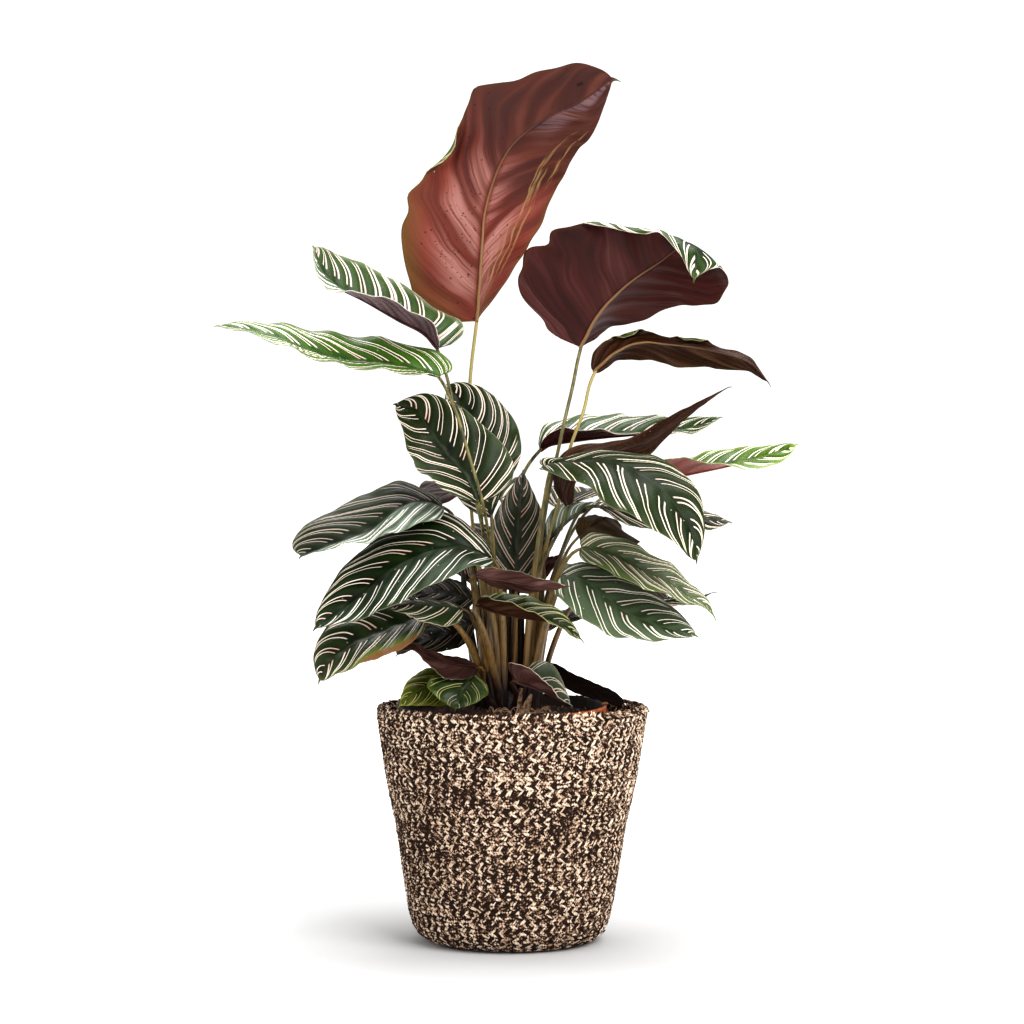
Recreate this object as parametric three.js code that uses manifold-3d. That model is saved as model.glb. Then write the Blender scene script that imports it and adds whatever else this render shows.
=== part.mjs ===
// A potted pinstripe calathea: a woven basket, the nursery pot inside it, soil, and a clump of striped leaves.
// Millimetres, +Z up. The origin is the middle of the basket's flat bottom, and the front of the plant is -Y.
import * as THREE from "three";
import { mergeVertices } from "three/addons/utils/BufferGeometryUtils.js";
import Module from "manifold-3d";

const GAP = 0.3; // left between pieces that rest on each other

const BASKET_HEIGHT = 173;
const BASKET_RIM_RADIUS = 100;
const BASKET_HEEL_RADIUS = 75.5; // where the side meets the rounded bottom corner
const BASKET_HEEL_HEIGHT = 24;
const BASKET_FOOT_RADIUS = 56; // the flat that the basket stands on
const BASKET_WALL = 6.5;

const LINER_THICKNESS = 0.6;
const LINER_HEIGHT = 160;

const POT_HEIGHT = 165;
const POT_RIM_RADIUS = 78;
const POT_BASE_RADIUS = 48;
const POT_WALL = 1.2;
const POT_BAND_HEIGHT = 10; // the thicker band round the mouth
const POT_BAND_STEP = 3;
const POT_CORNER = 2; // the small bevel between base and side
const POT_TILT = THREE.MathUtils.degToRad(2); // the back of the pot sits a little high
const POT_OFFSET_X = -8;
const DRAIN_HOLES = 5;
const DRAIN_HOLE_RADIUS = 5;
const DRAIN_CIRCLE_RADIUS = 30;

const SOIL_DEPTH = 157; // at the pot's wall, above the pot's base
const SOIL_MOUND = 5; // how much higher the soil is at the crown
const MOUND_RADII = [54, 38, 26]; // where the mound starts, steepens and levels off

const CROWN_X = -2;
const CROWN_Y = -2;
const CROWN_RADIUS = 25;
const CROWN_BOTTOM = 150;
const CROWN_SHOULDER = 178;
const CROWN_TOP = 190;
const CROWN_TAPER = 0.88; // the foot's and the shoulder's radius, as part of the crown's

const STALK_ROOT_Z = 170;
const STALK_ROOT_RADIUS = 3;
const STALK_TOP_RADIUS = 1.7;
const STALK_SIDES = 5;
const STALK_STEP = 30; // about how long one straight piece of a stalk is

const BLADE_THICKNESS = 0.7;
const BLADE_END_WIDTH = 0.03; // how much of its reach a half keeps at the very foot and tip
const BLADE_GRID = { large: [14, 3], medium: [12, 2], small: [8, 2] }; // rows, and columns in each half

const BASKET_SEGMENTS = 48;
const LINER_SEGMENTS = 32;
const POT_SEGMENTS = 36;
const CROWN_SEGMENTS = 20;

const STRAW = 0xc7a783;
const FILM = 0x2c2a27;
const TERRACOTTA_PLASTIC = 0xcf7348;
const COMPOST = 0x3a2618;
const STALK_GREEN = 0x8c8a45;
const LEAF_GREEN = 0x2c4a35;
const LEAF_BURGUNDY = 0x4d2a2e;

// Each leaf: the midrib's points from foot to tip; how far the right and left halves reach sideways from it,
// seen from above with the tip ahead, at three or more even steps from foot to tip; the power of the
// outline's rise at the foot and of its fall at the tip; the height and number of the waves along each
// margin; the points of the stalk from just under the blade down; and where the stalk leaves the crown.
const LEAVES = [
  {
    name: "tall_red",
    midrib: [[-26, 0, 457], [-24, -6, 483], [-22, -12, 512], [-19, -18, 540],
      [-3, -28, 579], [24, -38, 601], [49, -46, 612], [72, -52, 627]],
    right: [[-62, 14, -6], [-62, 19, 4], [-60, 21, 18], [-38, 22, 20], [-41, 22, 42], [-24, 22, 58], [-10, 20, 76]],
    left: [[2, 30, -2], [29, 38, -8], [44, 40, -14], [36, 38, -30], [14, 34, -52]],
    outline: [0.42, 0.75],
    waves: [3, 4],
    stalk: [[-31, -2, 417], [-30, -4, 314], [-18, -6, 236]],
    root: [-15, -2],
    size: "large",
  },
  {
    name: "high_right",
    midrib: [[51, 20, 439], [65, 14, 464], [86, 4, 485], [109, -10, 500],
      [128, -28, 512], [134, -44, 502], [131, -50, 484]],
    right: [[-72, 10, 28], [-64, 13, 42], [-46, 14, 38], [-35, 6, 11], [-40, -8, -12]],
    left: [[10, 28, 5], [12, 32, -15], [23, 34, -26], [44, 22, -34], [72, -6, -24]],
    outline: [0.42, 0.72],
    waves: [2.5, 4],
    stalk: [[48, 14, 422], [38, -6, 381], [33, -4, 355], [29, -4, 341], [23, -6, 306], [18, -8, 268],
      [13, -6, 222]],
    root: [8, 2],
    size: "large",
  },
  {
    name: "narrow_right",
    midrib: [[61, 10, 420], [69, 6, 428], [80, 2, 436], [96, -4, 441],
      [116, -12, 439], [144, -22, 434], [173, -32, 424], [185, -36, 411]],
    right: [[-12, 14, 12], [-2, 20, 8], [2, 14, 10]],
    left: [[4, 14, -4], [-2, 22, -14], [-4, 12, -12]],
    outline: [0.45, 0.75],
    waves: [2, 4],
    stalk: [[54, -8, 390], [42, -6, 365], [39, -2, 340], [32, -2, 314], [22, -4, 281], [14, -4, 222]],
    root: [12, -2],
  },
  {
    name: "upper_left",
    midrib: [[-54, -25, 435], [-64, -30, 446], [-82, -36, 455], [-106, -44, 468],
      [-124, -50, 477], [-137, -56, 490], [-142, -60, 505]],
    right: [[38, 20, 12], [30, 26, 9], [17, 30, 21], [17, 25, 29], [20, 16, 30]],
    left: [[8, -32, 8], [0, -34, 5], [-4, -18, -26]],
    outline: [0.42, 0.75],
    waves: [2, 4],
    stalk: [[-49, -20, 420], [-44, -24, 401], [-37, -36, 368], [-28, -42, 332], [-21, -34, 303],
      [-16, -20, 252]],
    root: [-17, -6],
  },
  {
    name: "long_left",
    midrib: [[-52, -45, 414], [-75, -52, 420], [-98, -60, 423], [-120, -68, 424],
      [-141, -76, 429], [-164, -82, 438], [-189, -86, 445], [-207, -88, 447]],
    right: [[32, 20, 13], [8, 25, 18], [3, 26, 20], [2, 22, 17], [2, 18, 14]],
    left: [[4, -24, -5], [1, -27, -7], [0, -28, -5], [0, -25, -6], [0, -20, -8]],
    outline: [0.42, 0.8],
    waves: [2.5, 5],
    stalk: [[-49, -52, 406], [-40, -58, 390], [-32, -68, 360], [-26, -74, 342], [-21, -74, 325],
      [-19, -57, 312], [-16, -35, 295], [-14, -20, 237]],
    root: [-12, -12],
  },
  {
    name: "front_centre",
    midrib: [[-24, -62, 323], [-33, -60, 342], [-46, -56, 357], [-54, -52, 368],
      [-62, -46, 379], [-71, -40, 389], [-84, -36, 394]],
    right: [[40, 6, 10], [28, 6, 19], [16, 4, 30]],
    left: [[-24, -18, 0], [-20, -22, -13], [-18, -14, -26]],
    outline: [0.42, 0.75],
    waves: [2, 4],
    stalk: [[-22, -54, 311], [-21, -40, 302], [-20, -31, 291], [-18, -26, 270], [-12, -20, 222]],
    root: [-9, -12],
  },
  {
    name: "behind_centre",
    midrib: [[-15, -28, 312], [-16, -26, 332], [-21, -24, 354], [-28, -20, 376],
      [-37, -14, 395], [-47, -10, 409]],
    right: [[4, 6, 10], [21, 8, 11], [31, 8, 9], [33, 6, 17], [26, 4, 34]],
    left: [[-22, -8, 0], [-28, -8, -6], [-34, -8, -8], [-28, -7, -14], [-22, -6, -20]],
    outline: [0.42, 0.75],
    waves: [2, 4],
    stalk: [[-14, -24, 296], [-11, -14, 237]],
    root: [-11, -6],
  },
  {
    name: "pale_left",
    midrib: [[-51, -40, 320], [-62, -48, 323], [-73, -56, 322], [-85, -66, 315],
      [-100, -76, 303], [-115, -84, 297], [-132, -90, 291], [-147, -96, 285]],
    right: [[4, 22, 5], [-4, 26, 17], [-16, 26, 21], [-32, 21, 22], [-68, 12, 14]],
    left: [[10, -20, -16], [5, -23, -16], [2, -24, -9], [1, -20, -4], [0, -14, -3]],
    outline: [0.45, 0.8],
    waves: [2, 4],
    stalk: [[-42, -24, 312], [-34, -14, 292], [-24, -10, 240]],
    root: [-19, -6],
  },
  {
    name: "big_left",
    midrib: [[-14, -50, 282], [-24, -56, 287], [-35, -60, 291], [-48, -64, 290], [-59, -68, 288],
      [-71, -72, 283], [-86, -78, 275], [-103, -86, 260], [-117, -92, 249], [-137, -100, 235]],
    right: [[-2, 10, 22], [-8, 22, 26], [-12, 27, 23], [-20, 22, 27], [-28, 10, 24]],
    left: [[6, -18, -10], [6, -25, -19], [5, -30, -25], [8, -24, -20], [10, -16, -12]],
    outline: [0.42, 0.75],
    waves: [2, 4],
    stalk: [[-10, -40, 270], [-7, -22, 237]],
    root: [-6, -14],
    size: "large",
  },
  {
    name: "dry_edged",
    midrib: [[-63, -42, 241], [-72, -46, 238], [-84, -50, 234], [-96, -56, 229],
      [-108, -62, 225], [-119, -68, 218], [-130, -74, 209], [-136, -78, 197]],
    right: [[-4, 18, 24], [-10, 18, 26], [-28, 8, 16]],
    left: [[6, -20, -16], [7, -20, -15], [14, -12, -18]],
    outline: [0.42, 0.75],
    waves: [1.5, 4],
    stalk: [[-49, -38, 241], [-37, -34, 230], [-27, -22, 211]],
    root: [-19, -8],
  },
  {
    name: "small_pale_edge",
    midrib: [[-35, -50, 246], [-48, -58, 249], [-62, -66, 251], [-76, -74, 251], [-86, -80, 248]],
    right: [[0, 18, 3], [0, 20, 2], [0, 12, 2]],
    left: [[2, -12, -15], [1, -14, -14], [-2, -8, -10]],
    outline: [0.5, 0.8],
    waves: [1, 3],
    stalk: [[-29, -42, 239], [-22, -30, 223]],
    root: [-14, -14],
    size: "small",
  },
  {
    name: "dark_left",
    midrib: [[-28, -8, 235], [-42, -16, 229], [-57, -22, 224], [-71, -28, 221], [-82, -32, 222]],
    right: [[0, 22, 16], [-2, 22, 16], [-2, 14, 8]],
    left: [[3, -10, -13], [2, -10, -11], [0, -8, -6]],
    outline: [0.45, 0.8],
    waves: [1, 3],
    stalk: [[-22, -6, 222]],
    root: [-20, 4],
    size: "small",
  },
  {
    name: "curl_left",
    midrib: [[-25, -30, 203], [-38, -38, 205], [-51, -46, 208], [-62, -53, 213], [-71, -58, 219],
      [-78, -62, 217]],
    right: [[2, -14, -10], [2, -14, -10], [6, -8, -4]],
    left: [[-2, 10, 6], [-3, 10, 6], [2, 8, 8]],
    outline: [0.5, 0.8],
    waves: [1, 3],
    stalk: [[-21, -24, 195]],
    root: [-13, -16],
    size: "small",
  },
  {
    name: "low_left_back",
    midrib: [[-37, -10, 195], [-49, -22, 194], [-61, -32, 190], [-72, -38, 184], [-81, -41, 176]],
    right: [[-4, 10, 8], [-10, 10, 8], [-10, 8, 8]],
    left: [[6, -14, -18], [6, -12, -16], [4, -6, -10]],
    outline: [0.5, 0.8],
    waves: [1, 3],
    stalk: [[-31, -8, 186]],
    root: [-20, -4],
    size: "small",
  },
  {
    name: "low_left_front",
    midrib: [[-28, -34, 199], [-32, -46, 193], [-36, -56, 187], [-38, -62, 181], [-40, -64, 176]],
    right: [[-24, -8, 6], [-27, -8, 2], [-18, -4, -2]],
    left: [[12, -10, -4], [16, -8, -6], [12, -4, -6]],
    outline: [0.5, 0.7],
    waves: [1, 3],
    stalk: [[-23, -28, 192]],
    root: [-10, -18],
    size: "small",
  },
  {
    name: "upright_dark",
    midrib: [[3, -6, 259], [3, -4, 281], [4, 0, 303], [6, 5, 325], [8, 10, 346]],
    right: [[16, 2, 2], [21, 3, 2], [14, 2, -4]],
    left: [[-15, -6, 2], [-20, -6, 2], [-14, -4, -2]],
    outline: [0.5, 0.75],
    waves: [1, 3],
    stalk: [[3, -6, 237]],
    root: [1, -6],
    size: "small",
  },
  {
    name: "wide_right",
    midrib: [[21, 34, 363], [28, 30, 367], [47, 26, 370], [66, 22, 372], [95, 16, 374],
      [116, 12, 376], [136, 8, 379], [154, 4, 386]],
    right: [[0, -22, 14], [0, -26, 0], [4, -18, -10]],
    left: [[-6, 26, 20], [-3, 28, 17], [-4, 18, 16]],
    outline: [0.4, 0.75],
    waves: [2, 5],
    stalk: [[15, 34, 355], [9, 32, 348], [3, 26, 325], [0, 18, 280], [0, 10, 221]],
    root: [0, 8],
    size: "large",
  },
  {
    name: "rolled",
    midrib: [[40, -12, 321], [36, -18, 334], [38, -24, 348], [51, -27, 357], [71, -28, 359],
      [93, -30, 365], [112, -32, 378], [127, -34, 389], [140, -35, 397], [156, -36, 406]],
    right: [[-8, 10, 3], [-5, 16, 8], [-3, 10, 3]],
    left: [[16, 12, -4], [4, 16, -12], [3, 10, -6]],
    outline: [0.5, 1.1],
    waves: [1, 3],
    stalk: [[35, -12, 303], [26, -12, 286], [17, -14, 268], [13, -12, 237]],
    root: [11, -6],
  },
  {
    name: "big_right",
    midrib: [[28, -48, 348], [31, -54, 351], [45, -62, 352], [62, -70, 353], [74, -76, 351],
      [84, -82, 346], [102, -92, 335], [118, -104, 315], [126, -108, 299], [128, -112, 283]],
    right: [[-20, -20, -6], [-16, -24, -15], [-22, -26, -24], [-22, -20, -22], [-20, -12, -20]],
    left: [[-20, 20, 4], [-4, 25, 6], [9, 26, 14], [20, 21, 19], [22, 14, 14]],
    outline: [0.4, 0.7],
    waves: [2, 4],
    stalk: [[26, -40, 339], [22, -30, 317], [19, -24, 296], [14, -18, 252]],
    root: [9, -11],
    size: "large",
  },
  {
    name: "far_right",
    midrib: [[96, 30, 340], [118, 26, 342], [140, 20, 346], [160, 14, 350], [184, 8, 356], [210, 0, 366]],
    right: [[-4, -22, 20], [-4, -24, 3], [4, -18, -26]],
    left: [[-2, 24, 14], [-2, 26, 17], [-4, 14, 12]],
    outline: [0.45, 0.75],
    waves: [1.5, 4],
    stalk: [[73, 22, 331], [50, 12, 310], [32, 4, 273], [20, 3, 221]],
    root: [13, 8],
  },
  {
    name: "behind_big_right",
    midrib: [[65, -20, 320], [86, -26, 316], [111, -30, 315], [136, -34, 312], [157, -38, 309]],
    right: [[0, -20, -8], [0, -20, -13], [0, -14, -16]],
    left: [[0, 20, 8], [0, 22, 10], [0, 14, 8]],
    outline: [0.5, 0.75],
    waves: [1, 3],
    stalk: [[51, -7, 319], [43, -4, 304], [36, -4, 284], [26, -4, 251]],
    root: [15, -4],
  },
  {
    name: "brown_right",
    midrib: [[49, -24, 298], [57, -20, 307], [67, -10, 312], [75, 4, 309], [82, 16, 298]],
    right: [[-8, 4, 10], [-6, 10, 1], [8, 6, 8]],
    left: [[4, 6, -22], [24, 10, -20], [24, 6, -20]],
    outline: [0.45, 0.7],
    waves: [1, 3],
    stalk: [[45, -22, 295], [39, -18, 285], [29, -12, 251]],
    root: [16, 2],
    size: "small",
  },
  {
    name: "mid_right",
    midrib: [[50, -40, 290], [62, -48, 289], [74, -56, 286], [85, -64, 280], [97, -72, 273],
      [109, -78, 268], [123, -86, 258], [136, -92, 251], [141, -94, 244]],
    right: [[-8, -20, -12], [-6, -22, -11], [-8, -16, -8]],
    left: [[-5, 20, 14], [7, 24, 12], [10, 15, 11]],
    outline: [0.42, 0.85],
    waves: [1.5, 4],
    stalk: [[45, -38, 288], [39, -34, 281], [34, -30, 271], [24, -18, 237]],
    root: [14, -9],
  },
  {
    name: "low_right",
    midrib: [[36, -42, 270], [49, -50, 268], [60, -56, 261], [70, -62, 253], [80, -68, 245],
      [92, -74, 240], [106, -80, 235], [129, -86, 229]],
    right: [[-18, -16, -19], [-11, -18, -17], [-5, -10, -14]],
    left: [[0, 16, 11], [15, 22, 19], [18, 10, 16]],
    outline: [0.42, 0.75],
    waves: [2, 4],
    stalk: [[33, -38, 261], [24, -24, 234]],
    root: [11, -13],
  },
  {
    name: "purple_band",
    midrib: [[-26, -64, 271], [-9, -70, 268], [9, -78, 265], [26, -88, 264], [40, -96, 264]],
    right: [[0, -12, 9], [0, -12, 8], [0, -8, 4]],
    left: [[0, 14, -6], [0, 16, -7], [0, 10, -4]],
    outline: [0.5, 0.8],
    waves: [1, 3],
    stalk: [[-28, -54, 263], [-26, -38, 238], [-19, -26, 208]],
    root: [-12, -18],
    size: "small",
  },
  {
    name: "twisted_front",
    midrib: [[-25, -55, 250], [-12, -64, 245], [2, -72, 242], [16, -79, 240], [29, -84, 238],
      [39, -88, 234], [48, -92, 227]],
    right: [[0, -14, 12], [2, -16, 6], [-4, -12, -10]],
    left: [[2, 18, 12], [2, 20, 15], [8, 12, 10]],
    outline: [0.45, 0.8],
    waves: [1.5, 4],
    stalk: [[-22, -46, 235], [-15, -30, 208]],
    root: [-6, -19],
  },
  {
    name: "curled_base",
    midrib: [[4, -46, 193], [15, -54, 190], [27, -60, 185], [35, -64, 181], [41, -66, 179]],
    right: [[-18, -8, 24], [-2, -12, 12], [-4, -8, 4]],
    left: [[2, 12, 12], [6, 14, 20], [8, 6, 10]],
    outline: [0.45, 0.7],
    waves: [1, 3],
    stalk: [[3, -34, 185]],
    root: [2, -20],
    size: "small",
  },
  {
    name: "dark_strap",
    midrib: [[21, -20, 205], [31, -14, 200], [42, -10, 193], [57, -6, 186], [70, -4, 181], [82, -2, 174]],
    right: [[-2, -6, -5], [-3, -6, -6], [-3, -6, -4]],
    left: [[2, 6, 4], [3, 6, 4], [3, 6, 4]],
    outline: [0.25, 0.25],
    waves: [0.5, 3],
    stalk: [[19, -18, 193]],
    root: [12, -14],
    size: "small",
  },
  {
    name: "thin_behind",
    midrib: [[65, 0, 257], [94, -8, 250], [116, -14, 250], [134, -20, 252], [146, -24, 257]],
    right: [[0, -12, -3], [0, -10, -4], [0, -6, -2]],
    left: [[0, 10, 3], [0, 8, 4], [0, 6, 2]],
    outline: [0.5, 0.8],
    waves: [0.5, 3],
    stalk: [[46, 2, 249], [32, 4, 221]],
    root: [17, 6],
    size: "small",
  },
  {
    name: "silver_behind",
    midrib: [[26, 4, 294], [35, 6, 303], [46, 8, 312], [58, 10, 318], [67, 12, 323]],
    right: [[4, -8, 6], [4, -8, 4], [2, -5, 2]],
    left: [[-8, 8, 6], [-10, 10, 10], [-4, 6, 6]],
    outline: [0.5, 0.7],
    waves: [0.5, 3],
    stalk: [[24, 4, 273], [17, 6, 221]],
    root: [8, 10],
    size: "small",
  },
  {
    name: "dark_left_high",
    midrib: [[-28, -20, 252], [-42, -24, 256], [-60, -30, 258], [-73, -34, 255]],
    right: [[0, 16, 10], [0, 18, 10], [0, 10, 6]],
    left: [[0, -14, -10], [0, -14, -12], [0, -8, -6]],
    outline: [0.5, 0.8],
    waves: [0.5, 3],
    stalk: [[-21, -14, 235]],
    root: [-17, 2],
    size: "small",
  },
  {
    name: "small_purple",
    midrib: [[21, 14, 266], [26, 15, 276], [33, 16, 281], [38, 17, 285]],
    right: [[-3, 6, 4], [-3, 6, 4], [-2, 2, 2]],
    left: [[3, -4, -4], [3, -4, -4], [2, -3, -2]],
    outline: [0.5, 0.8],
    waves: [0.3, 3],
    stalk: [[17, 10, 251]],
    root: [9, 8],
    size: "small",
  },
  {
    name: "back_upper_left",
    midrib: [[-8, 22, 326], [-18, 38, 333], [-34, 62, 334], [-52, 88, 330], [-70, 116, 320]],
    right: [[26, 16, 9], [31, 20, 5], [22, 14, -4]],
    left: [[-26, -16, 6], [-31, -20, 4], [-22, -14, -4]],
    outline: [0.42, 0.75],
    waves: [2, 4],
    stalk: [[-6, 14, 300], [-6, 8, 240]],
    root: [-8, 8],
  },
  {
    name: "back_upper_right",
    midrib: [[38, 48, 318], [50, 64, 328], [68, 90, 331], [88, 116, 328], [108, 140, 318]],
    right: [[24, -18, 8], [30, -22, 4], [20, -14, -6]],
    left: [[-24, 18, 8], [-30, 22, 4], [-20, 14, -4]],
    outline: [0.42, 0.75],
    waves: [2, 4],
    stalk: [[28, 34, 290], [14, 18, 225]],
    root: [4, 12],
  },
  {
    name: "back_right",
    midrib: [[36, 24, 262], [52, 36, 270], [76, 52, 270], [102, 70, 262], [126, 90, 246]],
    right: [[13, -22, 8], [15, -26, 4], [10, -16, -8]],
    left: [[-13, 22, 8], [-15, 26, 4], [-10, 16, -6]],
    outline: [0.42, 0.75],
    waves: [2, 4],
    stalk: [[26, 16, 235]],
    root: [12, 10],
  },
  {
    name: "back_left",
    midrib: [[-28, 24, 262], [-44, 34, 272], [-68, 50, 274], [-94, 68, 266], [-118, 88, 250]],
    right: [[13, 22, 8], [15, 26, 5], [10, 16, -6]],
    left: [[-13, -22, 8], [-15, -26, 4], [-10, -16, -8]],
    outline: [0.42, 0.75],
    waves: [2, 4],
    stalk: [[-20, 16, 235]],
    root: [-12, 10],
  },
  {
    name: "back_low_left",
    midrib: [[-22, 30, 232], [-34, 48, 238], [-52, 72, 234], [-72, 96, 222], [-90, 116, 204]],
    right: [[20, 15, 8], [26, 19, 4], [18, 12, -8]],
    left: [[-20, -15, 8], [-26, -19, 4], [-18, -12, -6]],
    outline: [0.42, 0.75],
    waves: [2, 4],
    stalk: [[-16, 22, 215]],
    root: [-9, 14],
  },
  {
    name: "back_middle",
    midrib: [[2, 36, 286], [3, 56, 296], [4, 86, 298], [4, 118, 290], [2, 150, 272]],
    right: [[30, 0, 10], [36, 0, 6], [24, 0, -6]],
    left: [[-30, 0, 10], [-36, 0, 6], [-24, 0, -6]],
    outline: [0.42, 0.75],
    waves: [2, 4],
    stalk: [[1, 26, 262], [0, 14, 220]],
    root: [0, 14],
  },
  {
    name: "back_lower_middle",
    midrib: [[2, 34, 214], [1, 54, 219], [-1, 80, 216], [-4, 104, 206], [-8, 126, 192]],
    right: [[18, 1, 6], [22, 1, 3], [16, 1, -5]],
    left: [[-18, -1, 6], [-22, -1, 3], [-16, -1, -5]],
    outline: [0.42, 0.75],
    waves: [2, 4],
    stalk: [[2, 24, 200]],
    root: [1, 14],
  },
  {
    name: "back_low_right",
    midrib: [[28, 26, 228], [44, 38, 236], [66, 56, 238], [90, 76, 234], [110, 96, 228]],
    right: [[14, -18, 4], [18, -22, 2], [12, -15, -3]],
    left: [[-8, 12, 4], [-18, 18, 3], [-12, 15, -2]],
    outline: [0.45, 0.75],
    waves: [1.5, 4],
    stalk: [[20, 18, 210]],
    root: [12, 12],
    size: "small",
  },
];

const wasm = await Module();
wasm.setup();

const vector = (point) => new THREE.Vector3(...point);
const profilePoint = (radius, height) => new THREE.Vector2(radius, height);

// A closed geometry as a solid that can be joined and cut.
function toSolid(geometry) {
  const bare = new THREE.BufferGeometry();
  bare.setAttribute("position", geometry.getAttribute("position"));
  bare.setIndex(geometry.getIndex());
  const merged = mergeVertices(bare, 1e-3);
  const mesh = new wasm.Mesh({
    numProp: 3,
    vertProperties: merged.getAttribute("position").array,
    triVerts: new Uint32Array(merged.getIndex().array),
  });
  return new wasm.Manifold(mesh);
}

function toGeometry(solid) {
  const mesh = solid.getMesh();
  const geometry = new THREE.BufferGeometry();
  geometry.setAttribute("position", new THREE.BufferAttribute(mesh.vertProperties, 3));
  geometry.setIndex(new THREE.BufferAttribute(mesh.triVerts, 1));
  geometry.computeVertexNormals();
  return geometry;
}

// A turned shape: a profile of radius and height, from the axis up the outside and back, about +Z.
function turned(profile, segments) {
  return new THREE.LatheGeometry(profile, segments).rotateX(Math.PI / 2);
}

function named(name, geometry, color, roughness) {
  const mesh = new THREE.Mesh(geometry, new THREE.MeshStandardMaterial({ color, roughness, metalness: 0 }));
  mesh.name = name;
  return mesh;
}

// The quarter-round between the flat foot and the side, as points from the foot up.
function heel(footRadius, floor, sideRadius, sideHeight) {
  const corner = profilePoint(footRadius + 0.72 * (sideRadius - footRadius), floor);
  const curve = new THREE.QuadraticBezierCurve(
    profilePoint(footRadius, floor), corner, profilePoint(sideRadius, sideHeight));
  return curve.getPoints(4);
}

// The basket's inner face, moved in by an inset, as points from the floor up to a height.
function basketInside(inset, top) {
  const heelRadius = BASKET_HEEL_RADIUS - BASKET_WALL - inset;
  const rimRadius = BASKET_RIM_RADIUS - BASKET_WALL - inset;
  const slope = (rimRadius - heelRadius) / (BASKET_HEIGHT - BASKET_HEEL_HEIGHT);
  const points = heel(BASKET_FOOT_RADIUS - 4, BASKET_WALL + inset, heelRadius, BASKET_HEEL_HEIGHT + inset);
  points.push(profilePoint(heelRadius + slope * (top - BASKET_HEEL_HEIGHT), top));
  return points;
}

function basketGeometry() {
  const inside = basketInside(0, BASKET_HEIGHT - 3).reverse();
  const profile = [
    profilePoint(0, 0),
    ...heel(BASKET_FOOT_RADIUS, 0, BASKET_HEEL_RADIUS, BASKET_HEEL_HEIGHT),
    profilePoint(BASKET_RIM_RADIUS - 0.5, BASKET_HEIGHT - 7),
    profilePoint(BASKET_RIM_RADIUS, BASKET_HEIGHT - 3),
    profilePoint(BASKET_RIM_RADIUS - 1.5, BASKET_HEIGHT - 0.6),
    profilePoint(BASKET_RIM_RADIUS - BASKET_WALL / 2, BASKET_HEIGHT),
    profilePoint(BASKET_RIM_RADIUS - BASKET_WALL + 1, BASKET_HEIGHT - 0.6),
    ...inside,
    profilePoint(0, BASKET_WALL),
  ];
  return turned(profile, BASKET_SEGMENTS);
}

function linerGeometry() {
  const outside = basketInside(GAP, LINER_HEIGHT);
  const inside = basketInside(GAP + LINER_THICKNESS, LINER_HEIGHT).reverse();
  const profile = [
    profilePoint(0, BASKET_WALL + GAP),
    ...outside,
    ...inside,
    profilePoint(0, BASKET_WALL + GAP + LINER_THICKNESS),
  ];
  return turned(profile, LINER_SEGMENTS);
}

// The pot's own frame has its origin in the middle of its base.
function potRadiusAt(height) {
  const sideTop = POT_RIM_RADIUS - POT_BAND_STEP;
  return POT_BASE_RADIUS + (sideTop - POT_BASE_RADIUS) * (height / POT_HEIGHT);
}

function potGeometry() {
  const bandFoot = POT_HEIGHT - POT_BAND_HEIGHT;
  const profile = [
    profilePoint(0, 0),
    profilePoint(POT_BASE_RADIUS - POT_CORNER, 0),
    profilePoint(POT_BASE_RADIUS, POT_CORNER),
    profilePoint(potRadiusAt(bandFoot), bandFoot),
    profilePoint(POT_RIM_RADIUS - 1, bandFoot),
    profilePoint(POT_RIM_RADIUS, bandFoot + 2),
    profilePoint(POT_RIM_RADIUS, POT_HEIGHT - 1.5),
    profilePoint(POT_RIM_RADIUS - 1.5, POT_HEIGHT),
    profilePoint(POT_RIM_RADIUS - POT_BAND_STEP, POT_HEIGHT - 1.5),
    profilePoint(potRadiusAt(bandFoot) - POT_WALL, bandFoot),
    profilePoint(POT_BASE_RADIUS - POT_WALL, POT_CORNER),
    profilePoint(POT_BASE_RADIUS - POT_CORNER - POT_WALL, POT_WALL),
    profilePoint(0, POT_WALL),
  ];
  let pot = toSolid(turned(profile, POT_SEGMENTS));
  for (let i = 0; i < DRAIN_HOLES; i++) {
    const angle = (i / DRAIN_HOLES) * 2 * Math.PI;
    const hole = new THREE.CylinderGeometry(DRAIN_HOLE_RADIUS, DRAIN_HOLE_RADIUS, 6 * POT_WALL, 12)
      .rotateX(Math.PI / 2)
      .translate(DRAIN_CIRCLE_RADIUS * Math.cos(angle), DRAIN_CIRCLE_RADIUS * Math.sin(angle), 0);
    pot = pot.subtract(toSolid(hole));
  }
  return toGeometry(pot);
}

// The crown, where every stalk leaves: its foot is grown in a hole in the soil, its top is a low dome.
function crownProfile(inset) {
  return [
    profilePoint(0, CROWN_BOTTOM - inset),
    profilePoint(CROWN_TAPER * CROWN_RADIUS + inset, CROWN_BOTTOM - inset),
    profilePoint(CROWN_RADIUS + inset, CROWN_SHOULDER),
  ];
}

function crownSolid() {
  const profile = [
    ...crownProfile(0),
    profilePoint(CROWN_TAPER * CROWN_RADIUS, CROWN_SHOULDER + 4),
    profilePoint(0.55 * CROWN_RADIUS, CROWN_TOP - 3),
    profilePoint(0, CROWN_TOP),
  ];
  return toSolid(turned(profile, CROWN_SEGMENTS).translate(CROWN_X, CROWN_Y, 0));
}

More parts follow.
